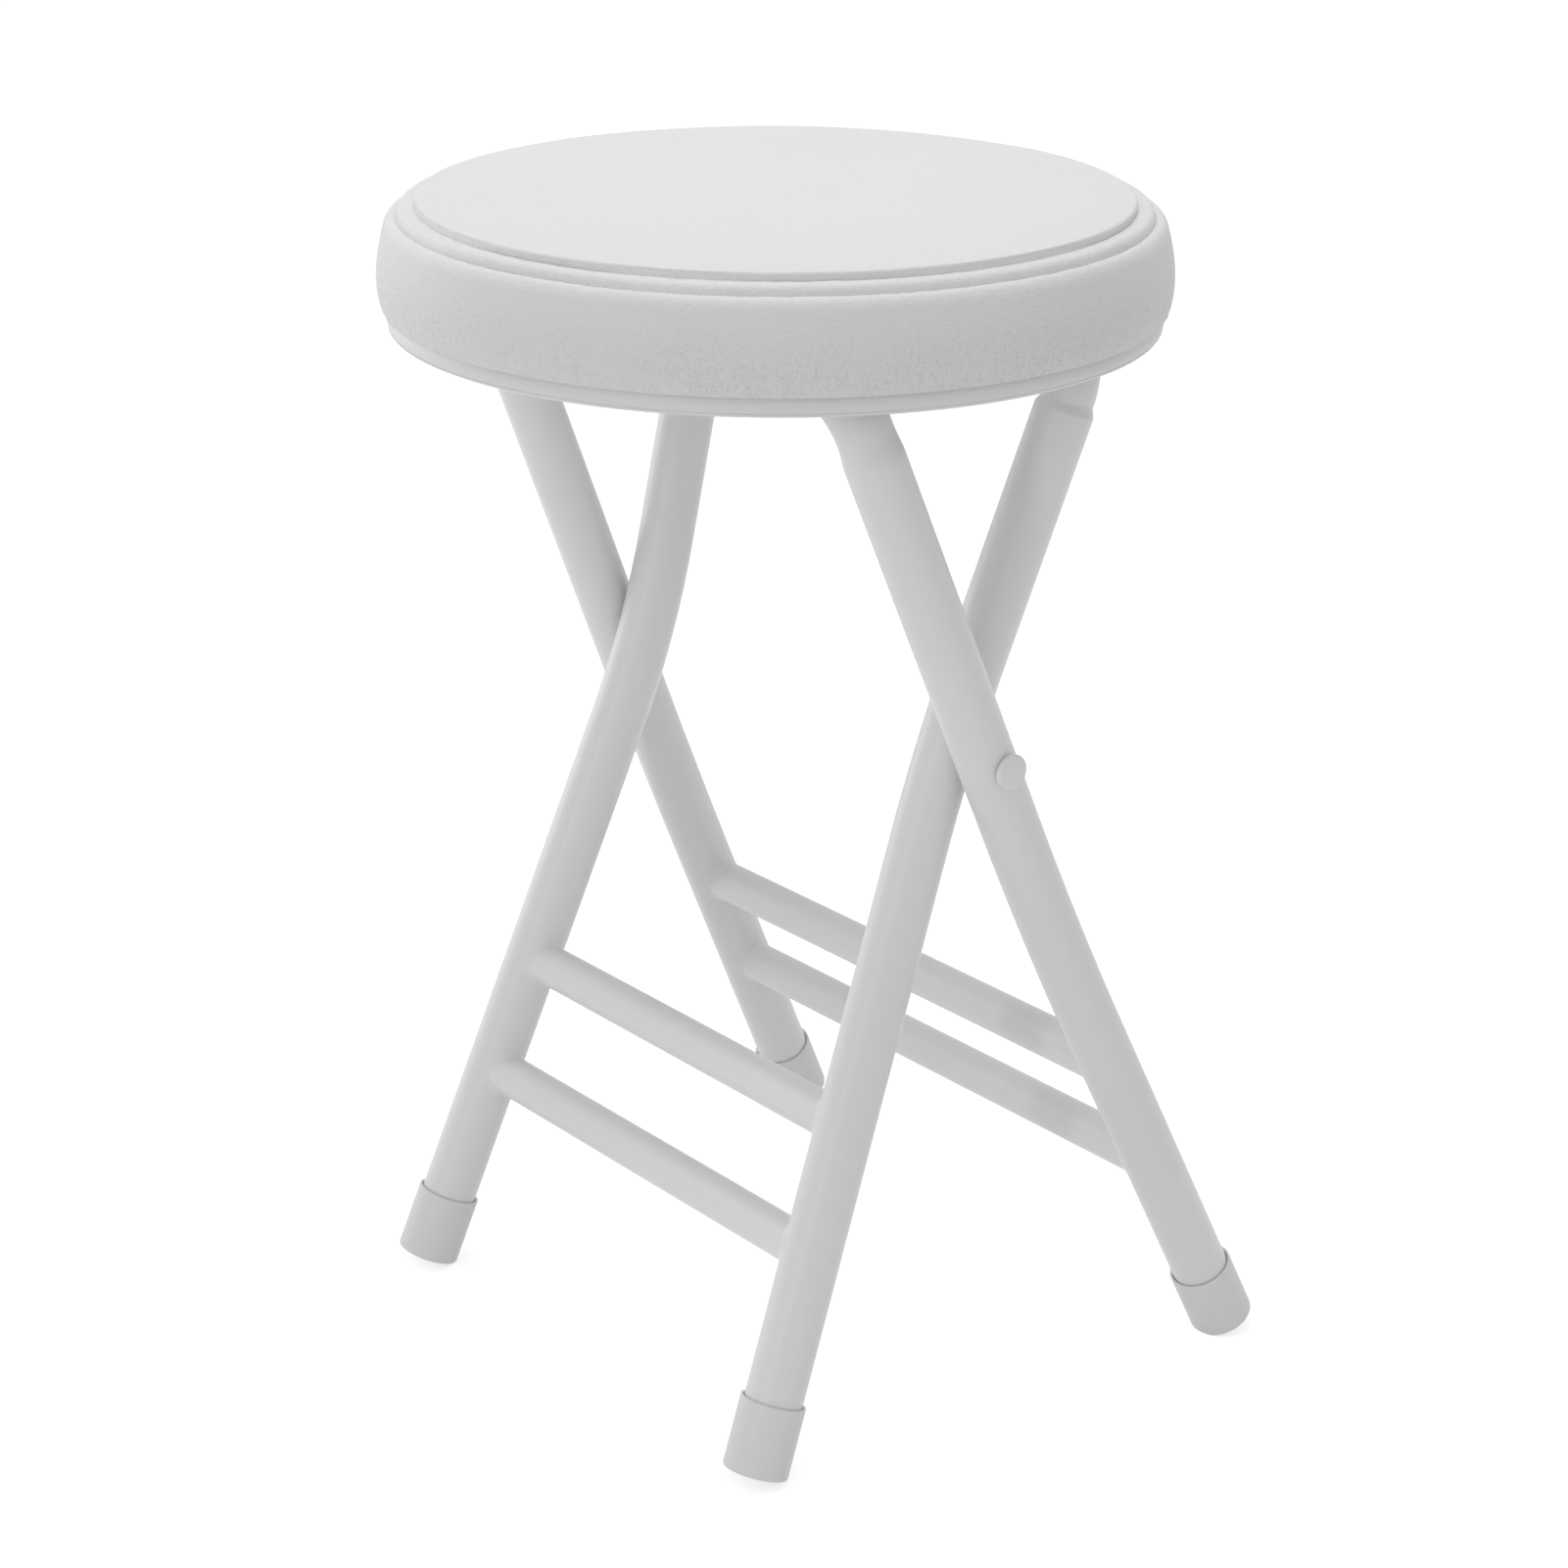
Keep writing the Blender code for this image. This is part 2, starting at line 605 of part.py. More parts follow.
def catch_outline(bar_y):
    """Hook of a catch: an ear, a wall outside the crossbar and a lip that wraps under it."""
    inside = TUBE_RADIUS + GAP
    outside = inside + STRAP_THICKNESS
    ear = PAN_FLOOR - GAP
    under_ear = ear - STRAP_THICKNESS
    end = outside + EAR_LENGTH
    centre = (bar_y, CROSSBAR_HEIGHT)
    outer = arc(centre, outside, 180, 180 + CATCH_WRAP, STRAP_STEPS)
    inner = arc(centre, inside, 180 + CATCH_WRAP, 180, STRAP_STEPS)
    tongue = [(bar_y - end, ear), (bar_y - end, under_ear), (bar_y - outside, under_ear)]
    return tongue + outer + inner + [(bar_y - inside, ear)]


def drill_ear(item, name, x, y):
    """Drill a strap's ear for its screw."""
    ear = PAN_FLOOR - GAP
    hole = turned(name, [(0, ear + GAP), (SCREW_RADIUS + GAP, ear + GAP),
                  (SCREW_RADIUS + GAP, ear - STRAP_THICKNESS - GAP), (0, ear - STRAP_THICKNESS - GAP)],
                  SCREW_SIDES, cutter=True)
    hole.location = (x, y, 0)
    subtract(item, hole)


inner_bar_y = inner_leg.point(CROSSBAR_HEIGHT).y
outer_bar_y = outer_leg.point(CROSSBAR_HEIGHT).y
ear_middle = TUBE_RADIUS + GAP + STRAP_THICKNESS + EAR_LENGTH / 2

inner_frame = add_empty("inner_frame", (0, 0, 0))
frame_pivot = add_empty("frame_pivot", (0, PIVOT_OFFSET, PIVOT_HEIGHT))
seat_hinge = add_empty("seat_hinge", (0, inner_bar_y, CROSSBAR_HEIGHT))

build_frame("inner", inner_leg, inner_frame, inner_leg.half_width)
build_frame("outer", outer_leg, frame_pivot, outer_leg.half_width - 2 * TUBE_RADIUS)
for side, hand in ((-1, "left"), (1, "right")):
    build_pivot(side, hand, frame_pivot)

build_cushion(seat_hinge)
ear_level = PAN_FLOOR - GAP - STRAP_THICKNESS
screw_places = []
for side, hand in ((-1, "left"), (1, "right")):
    saddle_x = side * FITTING_OFFSET
    saddle = extruded(f"{hand}_hinge_saddle", saddle_outline(inner_bar_y), FITTING_WIDTH, WHITE_COAT)
    saddle.location.x = saddle_x
    catch = extruded(f"{hand}_catch_hook", catch_outline(outer_bar_y), FITTING_WIDTH, WHITE_COAT)
    catch.location.x = saddle_x
    bpy.context.view_layer.update()
    for label, y in (("front", inner_bar_y - ear_middle), ("rear", inner_bar_y + ear_middle)):
        drill_ear(saddle, f"{hand}_{label}_saddle_drill", saddle_x, y)
        build_screw(f"{hand}_saddle_screw_{label}", saddle_x, y, ear_level, seat_hinge)
        screw_places.append((saddle_x, y))
    for label, shift in (("inboard", -side), ("outboard", side)):
        x = saddle_x + shift * CATCH_SCREW_SPACING / 2
        y = outer_bar_y - ear_middle
        drill_ear(catch, f"{hand}_{label}_catch_drill", x, y)
        build_screw(f"{hand}_catch_screw_{label}", x, y, ear_level, seat_hinge)
        screw_places.append((x, y))
    keep_place(saddle, seat_hinge)
    keep_place(catch, seat_hinge)
for number in range(PAN_SCREWS):
    angle = 2 * pi * number / PAN_SCREWS + radians(PAN_SCREW_ANGLE)
    x, y = PAN_SCREW_CIRCLE * cos(angle), PAN_SCREW_CIRCLE * sin(angle)
    build_screw(f"pan_screw_{number + 1}", x, y, PAN_FLOOR, seat_hinge)
    screw_places.append((x, y))
build_board_and_pan(seat_hinge, screw_places)
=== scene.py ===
# %% [markdown]
# # A folding stool, dressed
#
# The stool has a round padded seat on two crossed frames of bent steel tube, all of it white.
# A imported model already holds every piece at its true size, and this notebook makes the looks:
# smooth pressed tubes, welded rungs, foot caps, rivets, a padded cushion, and their finishes.
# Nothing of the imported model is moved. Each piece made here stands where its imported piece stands
# and moves with the same body. All lengths are in metres.

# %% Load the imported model
import json
from math import cos, exp, hypot, pi, radians, sin, sqrt, tan

import bmesh
import bpy
from mathutils import Matrix, Vector, noise
from mathutils.bvhtree import BVHTree


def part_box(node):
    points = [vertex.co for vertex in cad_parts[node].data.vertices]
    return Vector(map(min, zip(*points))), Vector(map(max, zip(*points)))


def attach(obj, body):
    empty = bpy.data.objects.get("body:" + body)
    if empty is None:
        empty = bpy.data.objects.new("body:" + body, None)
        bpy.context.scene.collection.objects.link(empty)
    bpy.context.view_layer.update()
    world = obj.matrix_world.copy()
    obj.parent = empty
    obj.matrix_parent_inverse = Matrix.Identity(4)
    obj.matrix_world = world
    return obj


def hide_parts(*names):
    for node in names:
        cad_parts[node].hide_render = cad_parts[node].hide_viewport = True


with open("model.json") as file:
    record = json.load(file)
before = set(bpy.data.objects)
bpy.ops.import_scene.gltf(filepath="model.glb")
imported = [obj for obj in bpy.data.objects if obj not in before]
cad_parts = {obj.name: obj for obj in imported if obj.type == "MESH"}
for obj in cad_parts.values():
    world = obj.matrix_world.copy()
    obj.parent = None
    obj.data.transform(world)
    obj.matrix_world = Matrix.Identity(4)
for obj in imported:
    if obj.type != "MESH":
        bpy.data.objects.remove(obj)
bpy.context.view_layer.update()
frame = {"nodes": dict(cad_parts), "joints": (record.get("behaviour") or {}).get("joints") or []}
joints = {joint["name"]: joint for joint in frame["joints"]}
pivot = Vector(joints["frame_fold"]["pos_m"])
seat_hinge = Vector(joints["seat_tilt"]["pos_m"])
X_AXIS = Vector((1, 0, 0))
Z_AXIS = Vector((0, 0, 1))
print("pieces:", len(frame["nodes"]), "pivot at", pivot, "seat hinge at", seat_hinge)

# %% [markdown]
# ## The camera
#
# A product photograph is mostly taken with a long lens from a few metres away, which keeps
# upright things upright. The camera's place can be found by eye, or worked out from edges whose
# real sizes are known. The second way was used here: the seat's two rims and the four feet fix
# the distance, the height and the lens. A small roll levels the frame as the photograph has it.

# %% Place the camera
CAMERA_PLACE = Vector((0.9907, -0.8017, 0.7058))
CAMERA_AIM = Vector((-0.0025, 0.0072, 0.2166))
CAMERA_ROLL = radians(0.293)
LENS = 81.6
NEAREST_SEEN = 0.05


def camera_matrix(place, aim, roll):
    """Where a camera stands and how it is turned, for a look at a point with a roll."""
    forward = (aim - place).normalized()
    right = forward.cross(Z_AXIS).normalized()
    up = right.cross(forward)
    rolled_right = right * cos(roll) + up * sin(roll)
    rolled_up = up * cos(roll) - right * sin(roll)
    turn = Matrix((rolled_right, rolled_up, -forward)).transposed()
    return Matrix.Translation(place) @ turn.to_4x4()


camera = bpy.data.objects.new("camera", bpy.data.cameras.new("camera"))
camera.data.lens = LENS
camera.data.clip_start = NEAREST_SEEN
camera.matrix_world = camera_matrix(CAMERA_PLACE, CAMERA_AIM, CAMERA_ROLL)
bpy.context.scene.collection.objects.link(camera)
bpy.context.scene.camera = camera
bpy.context.scene.view_settings.view_transform = "Standard"
print("camera stands", round((CAMERA_PLACE - CAMERA_AIM).length, 3), "m from what it looks at")

# %% [markdown]
# ## Helpers for node trees
#
# A node is added, its settings are chosen, and its inputs get values or links. Written out each
# time, these steps hide what a tree does. So a few helpers do them, and an input can then be
# given a number, a colour or another node's output in the same way.

# %% Node helpers
def feed(target, value):
    """Give an input a plain value, or link another node's output to it."""
    if isinstance(value, bpy.types.NodeSocket):
        target.id_data.links.new(value, target)
    else:
        target.default_value = value


def set_inputs(node, **inputs):
    """Set a node's inputs by name, with _ for a space."""
    for label, value in inputs.items():
        feed(node.inputs[label.replace("_", " ")], value)


def add_node(tree, kind, settings=None, **inputs):
    """Add a node, with its own settings and its inputs."""
    node = tree.nodes.new(kind)
    for label, value in (settings or {}).items():
        setattr(node, label, value)
    set_inputs(node, **inputs)
    return node


def calculation(tree, kind, operation, *values):
    """A Math or VectorMath node with its values in their order."""
    node = add_node(tree, kind, {"operation": operation})
    for target, value in zip(node.inputs, values):
        feed(target, value)
    return node


def mapped(tree, value, low, high, start=0, end=1):
    """Turn a value from start to end into one from low to high."""
    span = add_node(tree, "ShaderNodeMapRange", Value=value, From_Min=start, From_Max=end,
                    To_Min=low, To_Max=high)
    return span.outputs["Result"]


def new_material(name):
    """A material, its node tree and its main shader."""
    material = bpy.data.materials.new(name)
    material.use_nodes = True
    return material, material.node_tree, material.node_tree.nodes["Principled BSDF"]


print("node helpers ready")

# %% [markdown]
# ## Floor, surroundings and lamps
#
# The stool stands in plain white. White surroundings could be had by strong lamps, but those
# would wash out a white object. So the lamps stay low, and only what the camera or a mirror sees
# is lifted to white: the Light Path node tells such rays from the ones that carry light.
# The floor keeps part of its own shading, and with it the soft shadow under the feet. A small
# softbox above and a broad one at the left shape the stool, and a narrow strip in front gives
# the tubes a faint sheen along their length.

# %% Floor and surroundings
FLOOR_RADIUS = 9.0
FLOOR_SIDES = 96
FLOOR_COLOUR = (0.90, 0.90, 0.90, 1)
FLOOR_ROUGHNESS = 0.9
FLOOR_LIFT = 0.50
AMBIENT = 0.59
WHITE = (1, 1, 1, 1)


def seen_rays(tree):
    """A value of 1 on rays from the camera, or from a mirror or glass."""
    rays = add_node(tree, "ShaderNodeLightPath").outputs
    highest = rays["Is Camera Ray"]
    for name in ("Is Glossy Ray", "Is Transmission Ray"):
        highest = calculation(tree, "ShaderNodeMath", "MAXIMUM", highest, rays[name]).outputs[0]
    return highest


world = bpy.data.worlds.new("white_surroundings")
world.use_nodes = True
bpy.context.scene.world = world
sky_tree = world.node_tree
set_inputs(sky_tree.nodes["Background"], Color=WHITE,
           Strength=mapped(sky_tree, seen_rays(sky_tree), AMBIENT, 1))

floor_finish, floor_tree, floor_shader = new_material("pale_floor")
set_inputs(floor_shader, Base_Color=FLOOR_COLOUR, Roughness=FLOOR_ROUGHNESS, Specular_IOR_Level=0,
           Emission_Color=WHITE,
           Emission_Strength=mapped(floor_tree, seen_rays(floor_tree), 0, FLOOR_LIFT))

bpy.ops.mesh.primitive_circle_add(vertices=FLOOR_SIDES, radius=FLOOR_RADIUS, fill_type="NGON")
floor = bpy.context.object
floor.name = "floor"
floor.data.materials.append(floor_finish)
print("floor", 2 * FLOOR_RADIUS, "m across")

# %% Lamps
# Each lamp is (place, what it faces, width and height, watts)
LAMPS = {
    "top_softbox": ((0, 0, 1.3), (0, 0, 0.45), (0.4, 0.4), 3.0),
    "side_softbox": ((-2.1, -0.6, 0.7), (0, 0, 0.25), (1.2, 1.2), 8.4),
    "strip_light": ((0.45, -2.1, 0.7), (0, 0, 0.3), (0.10, 1.3), 4.0),
}
for name, (place, aim, size, power) in LAMPS.items():
    lamp = bpy.data.lights.new(name, "AREA")
    lamp.shape = "RECTANGLE"
    lamp.size, lamp.size_y = size
    lamp.energy = power
    holder = bpy.data.objects.new(name, lamp)
    holder.location = place
    holder.rotation_euler = (Vector(aim) - Vector(place)).to_track_quat("-Z", "Y").to_euler()
    bpy.context.scene.collection.objects.link(holder)
    print(name, power, "W")

# %% [markdown]
# ## Effects that several finishes share
#
# White things differ mostly in their surface. Powder coat has a faint orange peel, moulded
# plastic a fine even texture, and both are never of exactly one tone. Such an effect could be
# built again in each material. A node group is built once, gets named inputs, and is placed in
# each material with its own values. The groups here put out only colours, values and normals.

# %% Shader node groups
CLOUD_RANGE = (-0.6, 1.6)
MIX_COLOUR_INPUTS = (6, 7)
MIX_COLOUR_OUTPUT = 2


def new_group(name, inputs, outputs):
    """A shader group with sockets given as (name, kind, default)."""
    group = bpy.data.node_groups.new(name, "ShaderNodeTree")
    for label, kind, default in inputs:
        socket = group.interface.new_socket(label, in_out="INPUT", socket_type="NodeSocket" + kind)
        socket.default_value = default
    for label, kind in outputs:
        group.interface.new_socket(label, in_out="OUTPUT", socket_type="NodeSocket" + kind)
    return group, add_node(group, "NodeGroupInput").outputs, add_node(group, "NodeGroupOutput").inputs


def noise_at(tree, scale, detail):
    """Noise on object coordinates."""
    place = add_node(tree, "ShaderNodeTexCoord").outputs["Object"]
    return add_node(tree, "ShaderNodeTexNoise", Vector=place, Scale=scale, Detail=detail).outputs["Fac"]


def bumped(tree, height, distance, strength, before=None):
    """A Bump node's normal, which may follow an earlier one."""
    bump = add_node(tree, "ShaderNodeBump", Height=height, Distance=distance, Strength=strength)
    if before:
        set_inputs(bump, Normal=before)
    return bump.outputs["Normal"]


def coloured(tree, factor, *colours):
    """A colour between two, by a factor."""
    mix = add_node(tree, "ShaderNodeMix", {"data_type": "RGBA"}, Factor=factor)
    for number, colour in zip(MIX_COLOUR_INPUTS, colours):
        feed(mix.inputs[number], colour)
    return mix.outputs[MIX_COLOUR_OUTPUT]


# Uneven tone: large soft clouds between two colours
uneven_tone, given, made = new_group(
    "uneven_tone",
    [("Light", "Color", (0.8, 0.8, 0.8, 1)), ("Dark", "Color", (0.7, 0.7, 0.7, 1)),
     ("Scale", "Float", 9.0)],
    [("Color", "Color"), ("Cloud", "Float")])
cloud = mapped(uneven_tone, noise_at(uneven_tone, given["Scale"], 3), *CLOUD_RANGE)
feed(made["Color"], coloured(uneven_tone, cloud, given["Dark"], given["Light"]))
feed(made["Cloud"], cloud)

# Fine relief: the orange peel of a coat, or the even texture of a mould
fine_relief, given, made = new_group(
    "fine_relief",
    [("Scale", "Float", 900.0), ("Depth", "Float", 0.00002), ("Waviness", "Float", 120.0),
     ("Wave depth", "Float", 0.00002)],
    [("Normal", "Vector"), ("Height", "Float")])
peel = noise_at(fine_relief, given["Scale"], 2)
waves = bumped(fine_relief, noise_at(fine_relief, given["Waviness"], 1), given["Wave depth"], 1)
feed(made["Normal"], bumped(fine_relief, peel, given["Depth"], 1, waves))
feed(made["Height"], peel)
print("groups:", uneven_tone.name, fine_relief.name)

# %% [markdown]
# ## Coats and plastics
#
# The frame's white is a baked powder coat: satin, a little glossy at grazing angles. The pan and
# the foot caps are moulded plastic and somewhat softer in gloss. One function can make them all,
# because they differ only in numbers: two tones, a roughness with its spread, a relief, and how
# metallic or how lacquered they are.

# %% Finishes of the hard pieces
COAT_ROUGHNESS = 0.2


def placed_group(tree, group, **values):
    """Place a node group in a material and set its inputs by name, with _ for a space."""
    return add_node(tree, "ShaderNodeGroup", {"node_tree": group}, **values).outputs


def grey(value):
    """A neutral colour."""
    return (value, value, value, 1)


def coated(name, tones, gloss, relief, metallic=0, coat=0):
    """A hard finish, from its tones, gloss and relief.

    tones are (light, dark), gloss is (roughness, spread), and relief is
    (scale, depth, waviness, wave depth).
    """
    material, tree, shader = new_material(name)
    tone = placed_group(tree, uneven_tone, Light=tones[0], Dark=tones[1])
    rough, spread = gloss
    scale, depth, waves, wave_depth = relief
    skin = placed_group(tree, fine_relief, Scale=scale, Depth=depth, Waviness=waves, Wave_depth=wave_depth)
    set_inputs(shader, Base_Color=tone["Color"], Normal=skin["Normal"], Metallic=metallic,
               Roughness=mapped(tree, tone["Cloud"], rough + spread, rough - spread),
               Coat_Weight=coat, Coat_Roughness=COAT_ROUGHNESS)
    print("finish", name)
    return material


frame_coat = coated("frame_powder_coat", (grey(0.80), grey(0.77)), (0.40, 0.04),
                    (850, 1e-5, 110, 1.5e-5), coat=0.05)
rivet_coat = coated("rivet_paint_coat", (grey(0.80), grey(0.77)), (0.32, 0.05),
                    (1100, 1e-5, 200, 2e-5), coat=0.2)
fitting_coat = coated("fitting_powder_coat", (grey(0.76), grey(0.72)), (0.40, 0.06),
                      (850, 2e-5, 110, 3e-5))
pan_plastic = coated("moulded_pan_plastic", (grey(0.76), grey(0.73)), (0.46, 0.04),
                     (1500, 2e-5, 60, 2e-5))
cap_plastic = coated("soft_cap_plastic", (grey(0.77), grey(0.73)), (0.48, 0.05),
                     (1300, 2e-5, 80, 4e-5))
washer_nylon = coated("natural_nylon", (grey(0.72), grey(0.68)), (0.45, 0.05),
                      (900, 1e-5, 90, 1e-5))
screw_zinc = coated("bright_zinc", ((0.62, 0.64, 0.67, 1), (0.50, 0.52, 0.55, 1)), (0.32, 0.08),
                    (2400, 1e-5, 300, 1e-5), metallic=1.0)

# %% [markdown]
# ## Vinyl with a leather grain
#
# The cover is a vinyl cloth embossed like leather: small pebbles with fine valleys between them,
# and over them short wrinkles of two or three millimetres that show most low on the side. An image
# of leather would need a flat map of the cushion. Cells worked out from object coordinates need
# none: a Voronoi texture's distance to the cell edge draws the valleys, a noise bends them, and a
# coarse noise lets the grain fade here and there, as it does where the cover is stretched. The
# wrinkles also lose height on their way up the side.
# The valleys are also painted a little darker, as painted shade.

# %% Grain group
BEND_SCALE = 240
FADE_RANGE = (0.1, 1.3)

leather_grain, given, made = new_group(
    "leather_grain",
    [("Cell scale", "Float", 700.0), ("Bend", "Float", 0.002), ("Valley width", "Float", 0.3),
     ("Fade scale", "Float", 46.0)],
    [("Height", "Float")])
place = add_node(leather_grain, "ShaderNodeTexCoord").outputs["Object"]
bend = add_node(leather_grain, "ShaderNodeTexNoise", Vector=place, Scale=BEND_SCALE, Detail=2)
centred = calculation(leather_grain, "ShaderNodeVectorMath", "SUBTRACT", bend.outputs["Color"],
                      (0.5, 0.5, 0.5))
shift = calculation(leather_grain, "ShaderNodeVectorMath", "SCALE", centred.outputs[0])
set_inputs(shift, Scale=given["Bend"])
bent = calculation(leather_grain, "ShaderNodeVectorMath", "ADD", place, shift.outputs[0])
pebbles = add_node(leather_grain, "ShaderNodeTexVoronoi", {"feature": "DISTANCE_TO_EDGE"},
                   Vector=bent.outputs[0], Scale=given["Cell scale"])
valleys = add_node(leather_grain, "ShaderNodeMapRange", {"interpolation_type": "SMOOTHSTEP"},
                   Value=pebbles.outputs["Distance"], From_Max=given["Valley width"])
fade = mapped(leather_grain, noise_at(leather_grain, given["Fade scale"], 3), *FADE_RANGE)
grain = calculation(leather_grain, "ShaderNodeMath", "MULTIPLY", valleys.outputs["Result"], fade)
feed(made["Height"], grain.outputs[0])
print("group", leather_grain.name)

# %% Vinyl finish
PEBBLE_SCALE = 800.0
PEBBLE_BEND = 0.002
PEBBLE_DEPTH = 0.0001
WRINKLE_SCALE = 330.0
WRINKLE_BEND = 0.006
WRINKLE_VALLEY = 0.4
WRINKLE_PATCHES = 30.0
WRINKLE_DEPTH = 0.00045
WRINKLE_SHARE_ABOVE = 0.3
WRINKLE_FADE_START = 0.008
WRINKLE_FADE_END = 0.026
PORE_SCALE = 2300.0
PORE_DEPTH = 3e-5
GRAIN_STRENGTH = 0.8
VINYL_LIGHT = 0.775
VINYL_DARK = 0.755
# Painted shade: the grain's valleys are darkened in colour towards this grey
PAINTED_VALLEY_SHADE = 0.73
VALLEY_LEAST_LIGHT = 0.4
VINYL_CLOUDS = 14.0
VALLEY_ROUGHNESS = 0.62
PEBBLE_ROUGHNESS = 0.48
VINYL_SPECULAR = 0.4

vinyl, tree, shader = new_material("embossed_vinyl")
pebble_height = placed_group(tree, leather_grain, Cell_scale=PEBBLE_SCALE, Bend=PEBBLE_BEND)["Height"]
wrinkle_height = placed_group(tree, leather_grain, Cell_scale=WRINKLE_SCALE, Bend=WRINKLE_BEND,
                              Valley_width=WRINKLE_VALLEY, Fade_scale=WRINKLE_PATCHES)["Height"]
pores = bumped(tree, noise_at(tree, PORE_SCALE, 2), PORE_DEPTH, 1)
hem_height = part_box("seat_cushion")[0].z
place = add_node(tree, "ShaderNodeTexCoord").outputs["Object"]
height = add_node(tree, "ShaderNodeSeparateXYZ", Vector=place).outputs["Z"]
above = mapped(tree, height, 1, WRINKLE_SHARE_ABOVE, hem_height + WRINKLE_FADE_START,
               hem_height + WRINKLE_FADE_END)
low_wrinkles = calculation(tree, "ShaderNodeMath", "MULTIPLY", wrinkle_height, above)
wrinkled = bumped(tree, low_wrinkles.outputs[0], WRINKLE_DEPTH, GRAIN_STRENGTH, pores)
tone = placed_group(tree, uneven_tone, Light=grey(VINYL_LIGHT), Dark=grey(VINYL_DARK), Scale=VINYL_CLOUDS)
# Painted shade in the grain's valleys: the colour darkens where the pebbles fall away
lit = mapped(tree, pebble_height, VALLEY_LEAST_LIGHT, 1)
set_inputs(shader, Normal=bumped(tree, pebble_height, PEBBLE_DEPTH, GRAIN_STRENGTH, wrinkled),
           Base_Color=coloured(tree, lit, grey(PAINTED_VALLEY_SHADE), tone["Color"]),
           Roughness=mapped(tree, pebble_height, VALLEY_ROUGHNESS, PEBBLE_ROUGHNESS),
           Specular_IOR_Level=VINYL_SPECULAR)
print("vinyl pebbles of", round(1000 / PEBBLE_SCALE, 2), "mm")
print("wrinkles of", round(1000 / WRINKLE_SCALE, 2), "mm")

# %% [markdown]
# ## The path of a leg
#
# Each frame is one long tube, bent at its top corners and bowed slightly where the frames cross.
# The path could be drawn by hand as a curve. Here it is a rule, because the rungs, the caps and
# the rivets all have to find the leg again: a leg is a line whose slope turns evenly from one
# lean to another over a short bow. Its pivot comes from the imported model, and its leans and
# splays are those of the real legs.

# %% Legs
TUBE_RADIUS = 0.011
CROSSING_DROP = 0.002
CLEARANCE = 0.0003
CAP_WALL = 0.0011
CAP_FLAT_DEPTH = 0.0014
CAP_FLOOR = 0.004
WASHER_THICKNESS = 0.0006
INNER_HALF_WIDTH = 0.0902
OUTER_HALF_WIDTH = INNER_HALF_WIDTH + 2 * TUBE_RADIUS + WASHER_THICKNESS + 2 * CLEARANCE
CAP_RADIUS = TUBE_RADIUS + CLEARANCE + CAP_WALL
CROSSBAR_HEIGHT = seat_hinge.z


class Leg:
    """Centre line of one leg at +X: straight, bowed, then straight again.

    leans and splays are the leg's angles in degrees, above and below its bow.
    """

    def __init__(self, half_width, leans, splays, bow_height, bow_reach):
        self.half_width = half_width
        self.leans = [tan(radians(angle)) for angle in leans]
        self.splays = [tan(radians(angle)) for angle in splays]
        self.bow_height = bow_height
        self.bow_reach = bow_reach

    def travel(self, height, slopes):
        """Sideways way at a height, for slopes above and below the bow."""
        above, below = slopes
        rise = height - self.bow_height
        reach = self.bow_reach
        turn = abs(rise) if abs(rise) > reach else (rise * rise + reach * reach) / (2 * reach)
        return (above + below) / 2 * rise + (above - below) / 2 * turn

    def point(self, height):
        """Centre of the tube at a height."""
        x = self.half_width + self.travel(height, self.splays) - self.travel(pivot.z, self.splays)
        y = pivot.y + self.travel(height, self.leans) - self.travel(pivot.z - CROSSING_DROP, self.leans)
        return Vector((x, y, height))

    def direction(self, height):
        """Unit vector up the leg at a height."""
        share = max(-1.0, min(1.0, (height - self.bow_height) / self.bow_reach))
        slopes = [(a + b) / 2 + (a - b) / 2 * share for a, b in (self.splays, self.leans)]
        return Vector((*slopes, 1)).normalized()

    def foot(self):
        """Centre of the cap's end disc, and the leg's direction there."""
        up = self.direction(0)
        tilt = sqrt(1 - up.z * up.z)
        return self.point(CAP_RADIUS * tilt - CAP_FLAT_DEPTH), up


LEGS = {
    "inner": Leg(INNER_HALF_WIDTH, leans=(18.1, 22.0), splays=(6.9, -4.4),
                 bow_height=0.257, bow_reach=0.035),
    "outer": Leg(OUTER_HALF_WIDTH, leans=(-22.7, -25.2), splays=(-2.8, -5.0),
                 bow_height=0.189, bow_reach=0.045),
}
BODIES = {"inner": "inner_frame", "outer": "outer_frame"}
HANDS = (("left", -1), ("right", 1))
for name, leg in LEGS.items():
    print(name, "leg meets the floor near", leg.foot()[0])

# %% [markdown]
# ## Stations along a frame
#
# Such thin tubes are bent on a die that presses their sides, so that the wall doesn't fold on the
# inside of the bend. The tube gets narrower there. On the inner frame the pressed stretch starts
# with a crease, on the outer one it starts softly. So each station of the path carries two more
# things: how much the tube is pressed at that place, and the direction from which it is pressed.
# The straight stretches get stations too, a few millimetres apart: on long faces the shading of
# one end would run down the whole leg.

# %% Stations
BEND_RADIUS = 0.024
BEND_PRESS = 0.0028
BEND_LEADS = {"inner": 0.005, "outer": 0.012}
CREASE_DENTS = {"inner": 0.0002, "outer": 0.0}
CREASE_SHARE = 0.84
BEND_STEPS = 28
LEAD_STEPS = 12
BOW_STEPS = 18
STATION_GAP = 0.006


def eased(share):
    """A smooth step from 0 to 1."""
    share = max(0.0, min(1.0, share))
    return share * share * (3 - 2 * share)


def pressed(way, name):
    """How far a frame's tube is pressed at a way into its pressed stretch: a step with a small dent."""
    crease = BEND_LEADS[name] * CREASE_SHARE
    dent = CREASE_DENTS[name] * exp(-((way - crease) / (crease / 3)) ** 2)
    return BEND_PRESS * eased(way / crease) + dent


